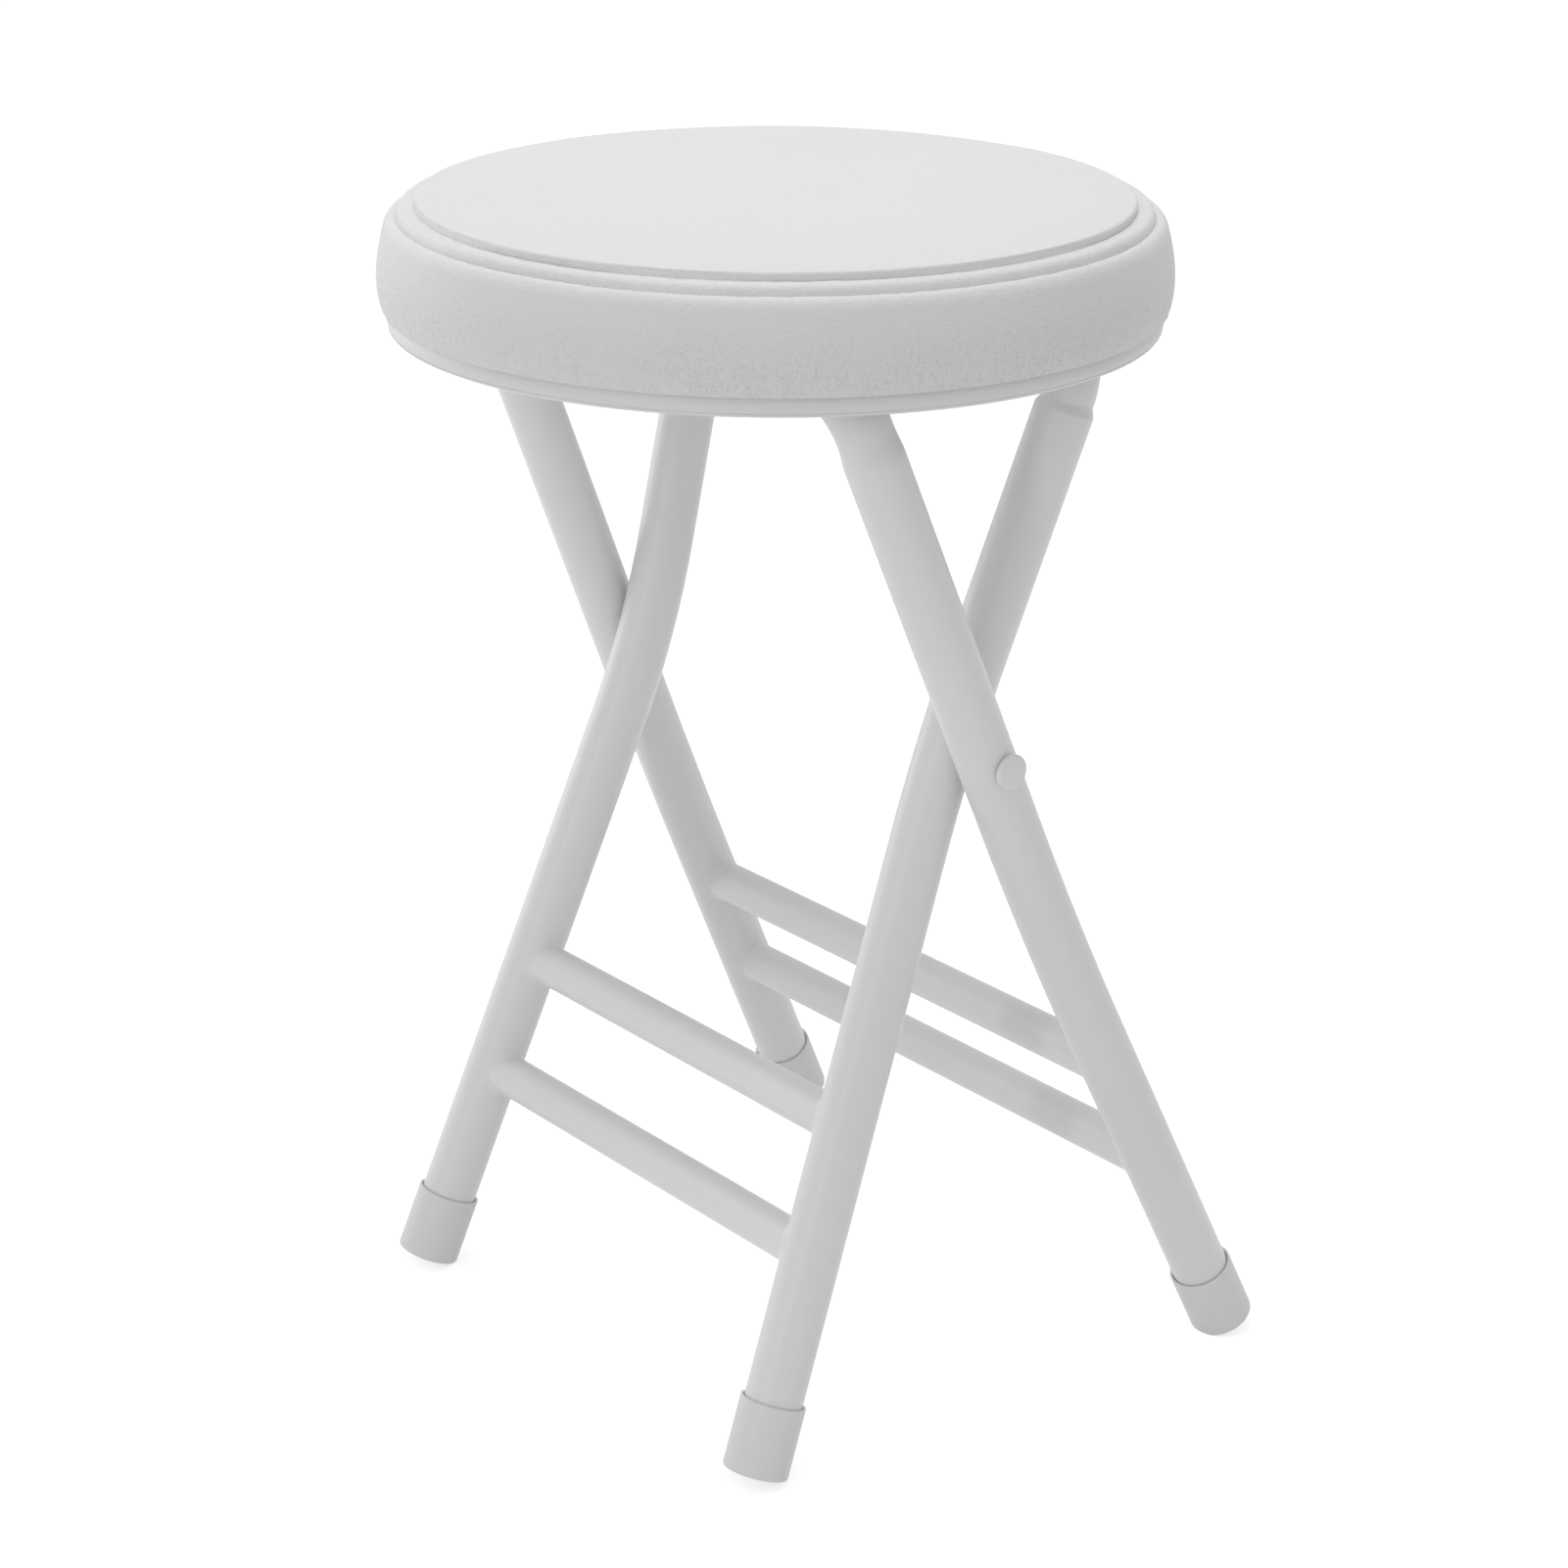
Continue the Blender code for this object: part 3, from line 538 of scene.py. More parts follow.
def with_straight_stations(stations):
    """Add stations to the straight stretches, so that none is longer than the gap."""
    filled = [stations[0]]
    for (start, _, _), (end, direction, press) in zip(stations, stations[1:]):
        count = int((end - start).length / STATION_GAP)
        for i in range(1, count + 1):
            filled.append((start.lerp(end, i / (count + 1)), direction, filled[-1][2]))
        filled.append((end, direction, press))
    return filled


def half_frame(name, leg):
    """Stations (point, direction, press) from the foot at +X to the middle of the crossbar."""
    lead = BEND_LEADS[name]
    foot, up = leg.foot()
    stations = [(foot + up * (CAP_FLOOR + CLEARANCE), up, 0.0)]
    for i in range(BOW_STEPS + 1):
        height = leg.bow_height - leg.bow_reach + 2 * leg.bow_reach * i / BOW_STEPS
        stations.append((leg.point(height), leg.direction(height), 0.0))
    corner = leg.point(CROSSBAR_HEIGHT)
    up = leg.direction(CROSSBAR_HEIGHT)
    turn = up.angle(-X_AXIS)
    centre = corner + (-X_AXIS - up).normalized() * BEND_RADIUS / cos(turn / 2)
    spoke = corner - up * BEND_RADIUS * tan(turn / 2) - centre
    axis = up.cross(-X_AXIS).normalized()
    for i in range(LEAD_STEPS):
        way = lead * i / LEAD_STEPS
        stations.append((centre + spoke + up * (way - lead), up, pressed(way, name)))
    for i in range(BEND_STEPS + 1):
        spin = Matrix.Rotation(turn * i / BEND_STEPS, 3, axis)
        stations.append((centre + spin @ spoke, spin @ up, pressed(lead, name)))
    bend_end = stations[-1][0]
    for i in range(1, LEAD_STEPS + 1):
        way = lead * i / LEAD_STEPS
        stations.append((bend_end - X_AXIS * way, -X_AXIS, pressed(lead - way, name)))
    stations.append((Vector((0, corner.y, CROSSBAR_HEIGHT)), -X_AXIS, 0.0))
    return with_straight_stations(stations)


def whole_frame(name, leg):
    """Stations from foot to foot, the second half mirrored from the first."""
    half = half_frame(name, leg)
    back = []
    for point, direction, press in reversed(half[:-1]):
        mirrored_point = Vector((-point.x, point.y, point.z))
        back.append((mirrored_point, Vector((direction.x, -direction.y, -direction.z)), press))
    return half + back


print("stations in a frame:", len(whole_frame("inner", LEGS["inner"])))

# %% [markdown]
# ## A tree that sweeps the tube and presses it
#
# A tube that follows a path is work for Geometry Nodes: Curve to Mesh sweeps a circle along it,
# and a second step moves every point towards the centre line, only along the pressing direction.
# The path enters as a string of edges whose points carry `press` and `inwards`. Both travel
# through Curve to Mesh to the swept points. Radius and sides are inputs, so one tree makes both
# frames.

# %% Geometry Nodes helpers
def new_geometry_tree(name, inputs):
    """A Geometry Nodes tree with a geometry socket each way and inputs given as (name, kind, default)."""
    tree = bpy.data.node_groups.new(name, "GeometryNodeTree")
    tree.interface.new_socket("Geometry", in_out="INPUT", socket_type="NodeSocketGeometry")
    tree.interface.new_socket("Geometry", in_out="OUTPUT", socket_type="NodeSocketGeometry")
    for label, kind, default in inputs:
        socket = tree.interface.new_socket(label, in_out="INPUT", socket_type="NodeSocket" + kind)
        if default is not None:
            socket.default_value = default
    return tree, add_node(tree, "NodeGroupInput").outputs, add_node(tree, "NodeGroupOutput").inputs


def read_attribute(tree, name, kind):
    """The value of a named attribute."""
    node = add_node(tree, "GeometryNodeInputNamedAttribute", {"data_type": kind}, Name=name)
    return node.outputs["Attribute"]


def finish_tree(tree, geometry, material, result):
    """End a tree in Realize Instances and Set Material."""
    real = add_node(tree, "GeometryNodeRealizeInstances", Geometry=geometry)
    paint = add_node(tree, "GeometryNodeSetMaterial", Geometry=real.outputs[0], Material=material)
    feed(result["Geometry"], paint.outputs[0])


def grown(item, tree, **values):
    """Run a tree on an object, with its inputs set by name, and return the result as a plain object."""
    modifier = item.modifiers.new(tree.name, "NODES")
    modifier.node_group = tree
    inputs = [socket for socket in tree.interface.items_tree if socket.in_out == "INPUT"]
    sockets = {socket.name: socket.identifier for socket in inputs}
    for label, value in values.items():
        modifier[sockets[label.replace("_", " ")]] = value
    bpy.context.view_layer.update()
    mesh = bpy.data.meshes.new_from_object(item.evaluated_get(bpy.context.evaluated_depsgraph_get()))
    item.modifiers.remove(modifier)
    name = item.name
    bpy.data.objects.remove(item)
    return new_piece(name, mesh)


def new_piece(name, mesh):
    """Link a mesh into the scene as an object at the origin."""
    item = bpy.data.objects.new(name, mesh)
    mesh.name = name
    bpy.context.scene.collection.objects.link(item)
    return item


def piece_from(cage, name):
    """End a cage: its mesh becomes a new piece."""
    mesh = bpy.data.meshes.new(name)
    cage.to_mesh(mesh)
    cage.free()
    return new_piece(name, mesh)


def opened(item):
    """A piece's mesh as a cage that can be edited."""
    cage = bmesh.new()
    cage.from_mesh(item.data)
    return cage


def closed(cage, item):
    """Write an edited cage back into its piece."""
    cage.to_mesh(item.data)
    cage.free()


print("tree and cage helpers ready")

# %% The tree of the pressed tube
pressed_tube, given, made = new_geometry_tree(
    "pressed_tube", [("Radius", "Float", TUBE_RADIUS), ("Sides", "Int", 48), ("Coat", "Material", None)])
path = add_node(pressed_tube, "GeometryNodeMeshToCurve", Mesh=given["Geometry"])
position = add_node(pressed_tube, "GeometryNodeInputPosition").outputs[0]
keep_centre = add_node(pressed_tube, "GeometryNodeStoreNamedAttribute", {"data_type": "FLOAT_VECTOR"},
                       Geometry=path.outputs[0], Name="centre", Value=position)
circle = add_node(pressed_tube, "GeometryNodeCurvePrimitiveCircle", Resolution=given["Sides"],
                  Radius=given["Radius"])
sweep = add_node(pressed_tube, "GeometryNodeCurveToMesh", Curve=keep_centre.outputs[0],
                 Profile_Curve=circle.outputs["Curve"])
centre = read_attribute(pressed_tube, "centre", "FLOAT_VECTOR")
inwards = read_attribute(pressed_tube, "inwards", "FLOAT_VECTOR")
press = read_attribute(pressed_tube, "press", "FLOAT")
spoke = calculation(pressed_tube, "ShaderNodeVectorMath", "SUBTRACT", position, centre)
reach = calculation(pressed_tube, "ShaderNodeVectorMath", "DOT_PRODUCT", spoke.outputs[0], inwards)
share = calculation(pressed_tube, "ShaderNodeMath", "DIVIDE", press, given["Radius"])
way = calculation(pressed_tube, "ShaderNodeMath", "MULTIPLY", reach.outputs["Value"], share.outputs[0])
back = calculation(pressed_tube, "ShaderNodeMath", "MULTIPLY", way.outputs[0], -1)
move = calculation(pressed_tube, "ShaderNodeVectorMath", "SCALE", inwards)
set_inputs(move, Scale=back.outputs[0])
moved = add_node(pressed_tube, "GeometryNodeSetPosition", Geometry=sweep.outputs[0],
                 Offset=move.outputs[0])
finish_tree(pressed_tube, moved.outputs[0], given["Coat"], made)
print("tree", pressed_tube.name, "has", len(pressed_tube.nodes), "nodes")

# %% [markdown]
# ## The two bent tubes
#
# Now the tree runs once for each frame. The swept skin is open at its ends, so Solidify gives it
# the wall of a real tube, and the rivets' holes are cut with a Boolean: through both walls of the
# outer tube, but only through the outer wall of the inner one, inside which the rivet is spread.
# Smooth shading by angle keeps the rims of the ends sharp.

# %% Bent tubes
TUBE_WALL = 0.0012
TUBE_SIDES = 56
RIVET_RADIUS = 0.003
DRILL_SIDES = 32
SAME_PLACE = 1e-7
SMOOTH_ANGLE = radians(40)


def path_object(name, leg):
    """The stations of a frame as a string of edges that carry press and inwards."""
    stations = whole_frame(name, leg)
    normal = X_AXIS.cross(leg.direction(CROSSBAR_HEIGHT)).normalized()
    mesh = bpy.data.meshes.new("path")
    edges = [(i, i + 1) for i in range(len(stations) - 1)]
    mesh.from_pydata([point for point, _, _ in stations], edges, [])
    press = mesh.attributes.new("press", "FLOAT", "POINT")
    inwards = mesh.attributes.new("inwards", "FLOAT_VECTOR", "POINT")
    for i, (_, direction, amount) in enumerate(stations):
        across = (normal - direction * normal.dot(direction)).normalized()
        press.data[i].value = amount
        inwards.data[i].vector = direction.cross(across)
    return new_piece(f"{name}_bent_tube", mesh)


def shaded(item, angle=SMOOTH_ANGLE):
    """Shade smooth, with sharp edges kept."""
    item.data.shade_smooth()
    item.data.set_sharp_from_angle(angle=angle)


def applied(item):
    """Apply all modifiers of an object."""
    mesh = bpy.data.meshes.new_from_object(item.evaluated_get(bpy.context.evaluated_depsgraph_get()))
    old = item.data
    item.modifiers.clear()
    item.data = mesh
    bpy.data.meshes.remove(old)
    return item


def turned_outwards(item):
    """Merge doubles, then make all faces point out."""
    cage = opened(item)
    bmesh.ops.remove_doubles(cage, verts=cage.verts, dist=SAME_PLACE)
    bmesh.ops.recalc_face_normals(cage, faces=cage.faces)
    closed(cage, item)


def cut_by(item, cutter):
    """Cut an object by another, which is then removed."""
    cut = item.modifiers.new("cut", "BOOLEAN")
    cut.operation = "DIFFERENCE"
    cut.solver = "EXACT"
    cut.object = cutter
    bpy.context.view_layer.update()
    applied(item)
    bpy.data.objects.remove(cutter)


def dress(item, body, slot, finish, *nodes):
    """Give a piece its finish, hang it on its body, and hide the imported pieces it stands for."""
    item.data.materials.clear()
    item.data.materials.append(finish)
    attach(item, body)
    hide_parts(*nodes)


def drill(start, end):
    """A cutter for the rivet's hole, along X from one place to another."""
    place = Matrix.Translation(((start + end) / 2, pivot.y, pivot.z)) @ Matrix.Rotation(pi / 2, 4, "Y")
    radius = RIVET_RADIUS + CLEARANCE
    cage = bmesh.new()
    bmesh.ops.create_cone(cage, cap_ends=True, segments=DRILL_SIDES, radius1=radius, radius2=radius,
                          depth=abs(end - start), matrix=place)
    return piece_from(cage, "drill")


for name, leg in LEGS.items():
    tube = grown(path_object(name, leg), pressed_tube, Radius=TUBE_RADIUS, Sides=TUBE_SIDES,
                 Coat=frame_coat)
    turned_outwards(tube)
    wall = tube.modifiers.new("wall", "SOLIDIFY")
    wall.thickness = TUBE_WALL
    wall.offset = -1
    applied(tube)
    near = leg.half_width if name == "inner" else leg.half_width - 2 * TUBE_RADIUS
    for side in (-1, 1):
        cut_by(tube, drill(side * near, side * (leg.half_width + 2 * TUBE_RADIUS)))
    shaded(tube)
    dress(tube, BODIES[name], "frame_paint", frame_coat, f"{name}_frame_tube")
    print(tube.name, len(tube.data.polygons), "faces")

# %% [markdown]
# ## Rungs welded between the legs
#
# The end of each rung is cut to a saddle that sits on the round leg, and a small weld runs round
# it under the coat. The saddle could be cut with a Boolean, but a weld needs an edge that can be
# swelled. So each line of the rung's skin is ended by a formula: where a line along X meets the
# leg's cylinder. Near that end the rung widens in a short concave curve, which is the weld.

# %% Rungs
RUNG_RADIUS = 0.0082
RUNG_HEIGHTS = {"upper": 0.1256, "lower": 0.0806}
RUNG_SIDES = 48
WELD_REACH = 0.0016
WELD_STEPS = 6
WELD_CROWDING = 1.5
WELD_ANGLE = radians(55)


def join_rings(cage, pairs, sides):
    """Faces between pairs of rings; a ring may be a single corner."""
    for ring, following in pairs:
        for i in range(sides):
            j = (i + 1) % sides
            corners = [ring[i % len(ring)], ring[j % len(ring)], following[j % len(following)],
                       following[i % len(following)]]
            cage.faces.new(list(dict.fromkeys(corners)))


def saddle_x(leg, height, y, z):
    """Where a line along X at (y, z) meets the inner side of the leg at +X."""
    centre = leg.point(height)
    along = leg.direction(height)
    off_y, off_z = y - centre.y, z - centre.z
    slide = off_y * along.y + off_z * along.z
    square = 1 - along.x ** 2
    rest = off_y ** 2 + off_z ** 2 - slide ** 2 - TUBE_RADIUS ** 2
    return centre.x + (along.x * slide - sqrt(max(0.0, (along.x * slide) ** 2 - square * rest))) / square


def rung(name, leg, height):
    """One rung, skin only from saddle to saddle, closed by its two saddle faces."""
    middle = leg.point(height)
    cage = bmesh.new()
    steps = [WELD_REACH * (i / WELD_STEPS) ** WELD_CROWDING for i in range(WELD_STEPS + 1)]
    rows = [(1, way) for way in steps] + [(-1, way) for way in reversed(steps)]
    rings = []
    for side, way in rows:
        radius = RUNG_RADIUS + WELD_REACH * (1 - way / WELD_REACH) ** 2
        ring = []
        for i in range(RUNG_SIDES):
            angle = 2 * pi * i / RUNG_SIDES
            y = middle.y + radius * cos(angle)
            z = middle.z + radius * sin(angle)
            ring.append(cage.verts.new((side * (saddle_x(leg, height, y, z) - way), y, z)))
        rings.append(ring)
    join_rings(cage, zip(rings, rings[1:]), RUNG_SIDES)
    for ring, side in ((rings[0], 1), (rings[-1], -1)):
        hub = cage.verts.new((side * saddle_x(leg, height, middle.y, middle.z), middle.y, middle.z))
        for i in range(RUNG_SIDES):
            cage.faces.new((ring[i], ring[(i + 1) % RUNG_SIDES], hub))
    bmesh.ops.recalc_face_normals(cage, faces=cage.faces)
    return piece_from(cage, name)


for name, leg in LEGS.items():
    for level, height in RUNG_HEIGHTS.items():
        bar = rung(f"{name}_{level}_welded_rung", leg, height)
        shaded(bar, WELD_ANGLE)
        dress(bar, BODIES[name], "frame_paint", frame_coat, f"{name}_{level}_rung")
        print(bar.name, round(bar.dimensions.x * 1000, 1), "mm long")

# %% [markdown]
# ## Turned pieces
#
# Caps, rivets, washers, the pan and the board are all round. A turned piece needs only half its
# section. Sharp sections look like paper models, because every real edge has a radius, so the
# sections are written as corners with a rounding each, and a small function bends each corner
# into a short curve before the section is turned.

# %% Sections and turning
ON_AXIS = 1e-6


def rounded(corners, steps=5):
    """Points of a section from corners (radius, height, rounding)."""
    outline = []
    for i, (radius, height, rounding) in enumerate(corners):
        here = Vector((radius, height))
        if not rounding:
            outline.append(here)
            continue
        before = (Vector(corners[i - 1][:2]) - here).normalized() * rounding
        after = (Vector(corners[(i + 1) % len(corners)][:2]) - here).normalized() * rounding
        for step in range(steps + 1):
            share = step / steps
            outline.append(here + before * (1 - share) ** 2 + after * share ** 2)
    return outline


def add_ring(cage, radius, height, sides):
    """Corners around Z at a radius and height, or a single one on the axis."""
    if radius < ON_AXIS:
        return [cage.verts.new((0, 0, height))]
    angles = [2 * pi * i / sides for i in range(sides)]
    return [cage.verts.new((radius * cos(a), radius * sin(a), height)) for a in angles]


def turned(name, section, sides, place=Matrix.Identity(4)):
    """Turn a section about Z; one that doesn't end on the axis is closed into a ring."""
    cage = bmesh.new()
    rings = [add_ring(cage, radius, height, sides) for radius, height in section]
    pairs = list(zip(rings, rings[1:]))
    if len(rings[0]) > 1:
        pairs.append((rings[-1], rings[0]))
    join_rings(cage, pairs, sides)
    bmesh.ops.recalc_face_normals(cage, faces=cage.faces)
    cage.transform(place)
    return piece_from(cage, name)


print("a corner becomes", len(rounded([(1, 0, 0.1), (0, 0, 0), (0, 1, 0)])) - 2, "points")

# %% [markdown]
# ## Foot caps
#
# A soft plastic cap is pushed over each tube end. It stands a good millimetre proud of the tube,
# which makes the fine dark line at its top. It ends square, with a barely broken bottom edge, and
# the floor has worn a small flat on it, because the legs lean. The cap is turned upright, tilted
# onto the leg, and then cut level with the floor.

# %% Foot caps
CAP_LENGTH = 0.0273
CAP_EDGE = 0.0009
CAP_LIP = 0.0004
CAP_SIDES = 72


def foot_cap(name, leg, side):
    """One cap, standing on the floor with its own flat."""
    bore = TUBE_RADIUS + CLEARANCE
    corners = [(0, CAP_FLOOR, 0), (bore, CAP_FLOOR, 0), (bore, CAP_LENGTH, CAP_LIP)]
    corners += [(CAP_RADIUS, CAP_LENGTH, CAP_LIP), (CAP_RADIUS, 0, CAP_EDGE), (0, 0, 0)]
    foot, up = leg.foot()
    foot.x *= side
    up.x *= side
    tilt = up.to_track_quat("Z", "Y").to_matrix().to_4x4()
    cap = turned(name, rounded(corners), CAP_SIDES, Matrix.Translation(foot) @ tilt)
    cage = opened(cap)
    everything = cage.verts[:] + cage.edges[:] + cage.faces[:]
    cut = bmesh.ops.bisect_plane(cage, geom=everything, dist=SAME_PLACE, plane_co=(0, 0, 0),
                                 plane_no=(0, 0, -1), clear_outer=True)
    edges = [edge for edge in cut["geom_cut"] if isinstance(edge, bmesh.types.BMEdge)]
    bmesh.ops.edgeloop_fill(cage, edges=edges)
    bmesh.ops.recalc_face_normals(cage, faces=cage.faces)
    closed(cage, cap)
    return cap


for name, leg in LEGS.items():
    for hand, side in HANDS:
        cap = foot_cap(f"{name}_{hand}_soft_cap", leg, side)
        shaded(cap)
        dress(cap, BODIES[name], "cap_plastic", cap_plastic, f"{name}_{hand}_foot_cap")
        print(cap.name, "lowest point", round(min(v.co.z for v in cap.data.vertices) * 1000, 3), "mm")

# %% [markdown]
# ## Rivets and washers
#
# One rivet on each side holds both frames and is the axis that they fold about. Its factory head
# is a low flat button outside, its other end is spread inside the inner tube, where nothing shows,
# and a thin nylon washer keeps the painted tubes apart. Both are turned, then laid along X.

# %% Rivets and washers
HEAD_RADIUS = 0.0066
HEAD_THICKNESS = 0.0022
HEAD_DOME = 0.00025
HEAD_EDGE = 0.0009
UNDER_HEAD_EDGE = 0.0003
TAIL_RADIUS = 0.0042
TAIL_THICKNESS = 0.0018
TAIL_TAPER = 0.9
TAIL_DIMPLE = 0.0012
DIMPLE_SHARE = 0.7
TAIL_EDGES = (0.0004, 0.0007, 0.0005)
TUBE_BORE = TUBE_RADIUS - TUBE_WALL
RIVET_SIDES = 56
WASHER_RADIUS = 0.0055
WASHER_SIDES = 48


def rivet_section():
    """Section of a rivet: domed button head, shank, and a spread tail with its dimple."""
    head = OUTER_HALF_WIDTH + TUBE_RADIUS + CLEARANCE
    tail = INNER_HALF_WIDTH + sqrt(TUBE_BORE ** 2 - TAIL_RADIUS ** 2) - 2 * CLEARANCE
    top = head + HEAD_THICKNESS
    end = tail - TAIL_THICKNESS
    corners = [(0, top, 0), (HEAD_RADIUS / 2, top - HEAD_DOME / 4, 0)]
    corners += [(HEAD_RADIUS, top - HEAD_DOME, HEAD_EDGE), (HEAD_RADIUS, head, UNDER_HEAD_EDGE)]
    corners += [(RIVET_RADIUS, head, 0), (RIVET_RADIUS, tail, 0), (TAIL_RADIUS, tail, TAIL_EDGES[0])]
    corners += [(TAIL_RADIUS * TAIL_TAPER, end, TAIL_EDGES[1])]
    corners += [(RIVET_RADIUS * DIMPLE_SHARE, end, TAIL_EDGES[2]), (0, end + TAIL_DIMPLE, 0)]
    return rounded(corners)


for hand, side in HANDS:
    place = Matrix.Translation((0, pivot.y, pivot.z)) @ Matrix.Rotation(side * pi / 2, 4, "Y")
    rivet = turned(f"{hand}_button_rivet", rivet_section(), RIVET_SIDES, place)
    shaded(rivet)
    dress(rivet, "outer_frame", "rivet_paint", rivet_coat, f"{hand}_pivot_rivet")
    near = INNER_HALF_WIDTH + TUBE_RADIUS + CLEARANCE
    far = near + WASHER_THICKNESS
    bore = RIVET_RADIUS + CLEARANCE
    edge = WASHER_THICKNESS / 4
    ring = [(WASHER_RADIUS, far, edge), (WASHER_RADIUS, near, edge), (bore, near, edge), (bore, far, edge)]
    washer = turned(f"{hand}_nylon_washer", rounded(ring, 2), WASHER_SIDES, place)
    shaded(washer)
    dress(washer, "outer_frame", "washer_nylon", washer_nylon, f"{hand}_pivot_washer")
    print(rivet.name, "reaches x =", round(side * max(abs(v.co.x) for v in rivet.data.vertices), 4))

# %% [markdown]
# ## Pan and board
#
# Under the cushion lies a shallow moulded pan. Its rim shows below the cushion as a thin band,
# slightly narrower at the bottom than at the top, because a moulding has to leave its mould. The
# top of the rim is tucked in under the hem, whose shade makes the band darken softly upwards.
# Inside the pan a plywood board takes the screws. Both are turned from sections with rounded
# corners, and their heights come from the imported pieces.

# %% Pan and board
PAN_WALL = 0.0025
RIM_DEPTH = 0.0072
RIM_DRAFT = 0.0024
RIM_TUCK = 0.0017
RIM_WIDEST = 0.55
RIM_BULGE = 0.0030
RIM_FOOT_EDGE = 0.0022
PAN_EDGE = 0.0004
LIP_EDGE = 0.0005
INSIDE_EDGE = 0.0008
DISH_TURN = 0.0015
SHOULDER_WIDTH = 0.007
BOARD_EDGE = 0.0006
SEAT_SIDES = 256
pan_low, pan_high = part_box("seat_pan")
board_low, board_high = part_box("seat_board")
RIM_RADIUS = pan_high.x
RIM_HEIGHT = pan_low.z
RIM_TOP = RIM_HEIGHT + RIM_DEPTH
DISH_RADIUS = RIM_RADIUS - SHOULDER_WIDTH
PAN_FLOOR = pan_high.z - PAN_WALL


def pan_section():
    """Section of the pan, from the middle of its top, out over the rim and back underneath."""
    foot = RIM_RADIUS - RIM_DRAFT
    inside_foot = foot - PAN_WALL
    inside_dish = DISH_RADIUS - PAN_WALL
    shelf = RIM_TOP - PAN_WALL
    corners = [(0, pan_high.z, 0), (DISH_RADIUS, pan_high.z, PAN_EDGE), (DISH_RADIUS, RIM_TOP, LIP_EDGE)]
    corners += [(RIM_RADIUS - RIM_TUCK, RIM_TOP, PAN_EDGE)]
    corners += [(RIM_RADIUS, RIM_TOP - RIM_WIDEST * RIM_DEPTH, RIM_BULGE)]
    corners += [(foot, RIM_HEIGHT, RIM_FOOT_EDGE), (inside_foot, RIM_HEIGHT, LIP_EDGE)]
    corners += [(inside_foot, shelf, INSIDE_EDGE), (inside_dish, shelf, INSIDE_EDGE)]
    return rounded(corners + [(inside_dish, PAN_FLOOR, DISH_TURN), (0, PAN_FLOOR, 0)])


pan = turned("moulded_pan", pan_section(), SEAT_SIDES)
shaded(pan)
dress(pan, "seat", "pan_plastic", pan_plastic, "seat_pan")

board_corners = [(0, board_high.z, 0), (DISH_RADIUS, board_high.z, BOARD_EDGE)]
board_corners += [(DISH_RADIUS, board_low.z, BOARD_EDGE), (0, board_low.z, 0)]
board = turned("round_board", rounded(board_corners), SEAT_SIDES)
shaded(board)
print("rim", round(2000 * RIM_RADIUS), "mm across")
print("board", round(1000 * (board_high.z - board_low.z), 1), "mm thick")

# %% [markdown]
# ## Plywood
#
# The board's face shows long grain, and its edge shows the plies, every second one dark because
# its end grain takes in more light. The grain is a noise stretched along X. The plies are bands
# across Z, from a wave of the object's own height. They are hidden in the finished stool, and are
# seen only when it is taken apart.

# %% Plywood finish
PLY_THICKNESS = 0.0018
PLY_SCALE = pi / (20 * PLY_THICKNESS)
PLY_SHARE = 0.5
GRAIN_STRETCH = (14, 190, 60)
DARK_WOOD = (0.42, 0.30, 0.18, 1)
LIGHT_WOOD = (0.68, 0.54, 0.36, 1)
END_GRAIN = (0.36, 0.24, 0.14, 1)
WOOD_ROUGHNESS = (0.55, 0.8)
WOOD_DEPTH = 5e-5
WOOD_STRENGTH = 0.6

plywood, tree, shader = new_material("birch_plywood")
place = add_node(tree, "ShaderNodeTexCoord").outputs["Object"]
stretch = add_node(tree, "ShaderNodeMapping", Vector=place, Scale=GRAIN_STRETCH).outputs[0]
fibre = add_node(tree, "ShaderNodeTexNoise", Vector=stretch, Scale=1, Detail=6).outputs["Fac"]
plies = add_node(tree, "ShaderNodeTexWave", {"bands_direction": "Z"}, Vector=place, Scale=PLY_SCALE)
dark_plies = mapped(tree, plies.outputs["Fac"], 0, PLY_SHARE)
wood = coloured(tree, fibre, DARK_WOOD, LIGHT_WOOD)
set_inputs(shader, Base_Color=coloured(tree, dark_plies, wood, END_GRAIN),
           Roughness=mapped(tree, fibre, *WOOD_ROUGHNESS),
           Normal=bumped(tree, fibre, WOOD_DEPTH, WOOD_STRENGTH))
dress(board, "seat", "plywood", plywood, "seat_board")
print("plies of", 1000 * PLY_THICKNESS, "mm")

# %% [markdown]
# ## Hinge saddles and catches
#
# The seat turns on the inner crossbar in two pressed saddles, and two hooks catch the outer one.
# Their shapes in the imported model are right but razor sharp. A strip of sheet steel has small
# round edges, so a copy of each is taken, its loose triangles are merged, flat faces are joined
# again, and a narrow Bevel rounds what is left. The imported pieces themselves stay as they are.

# %% Straps
STRAP_EDGE = 0.0004
STRAP_CORNER = radians(50)
LOOSE_REACH = 1e-6
FLAT_ANGLE = radians(1)

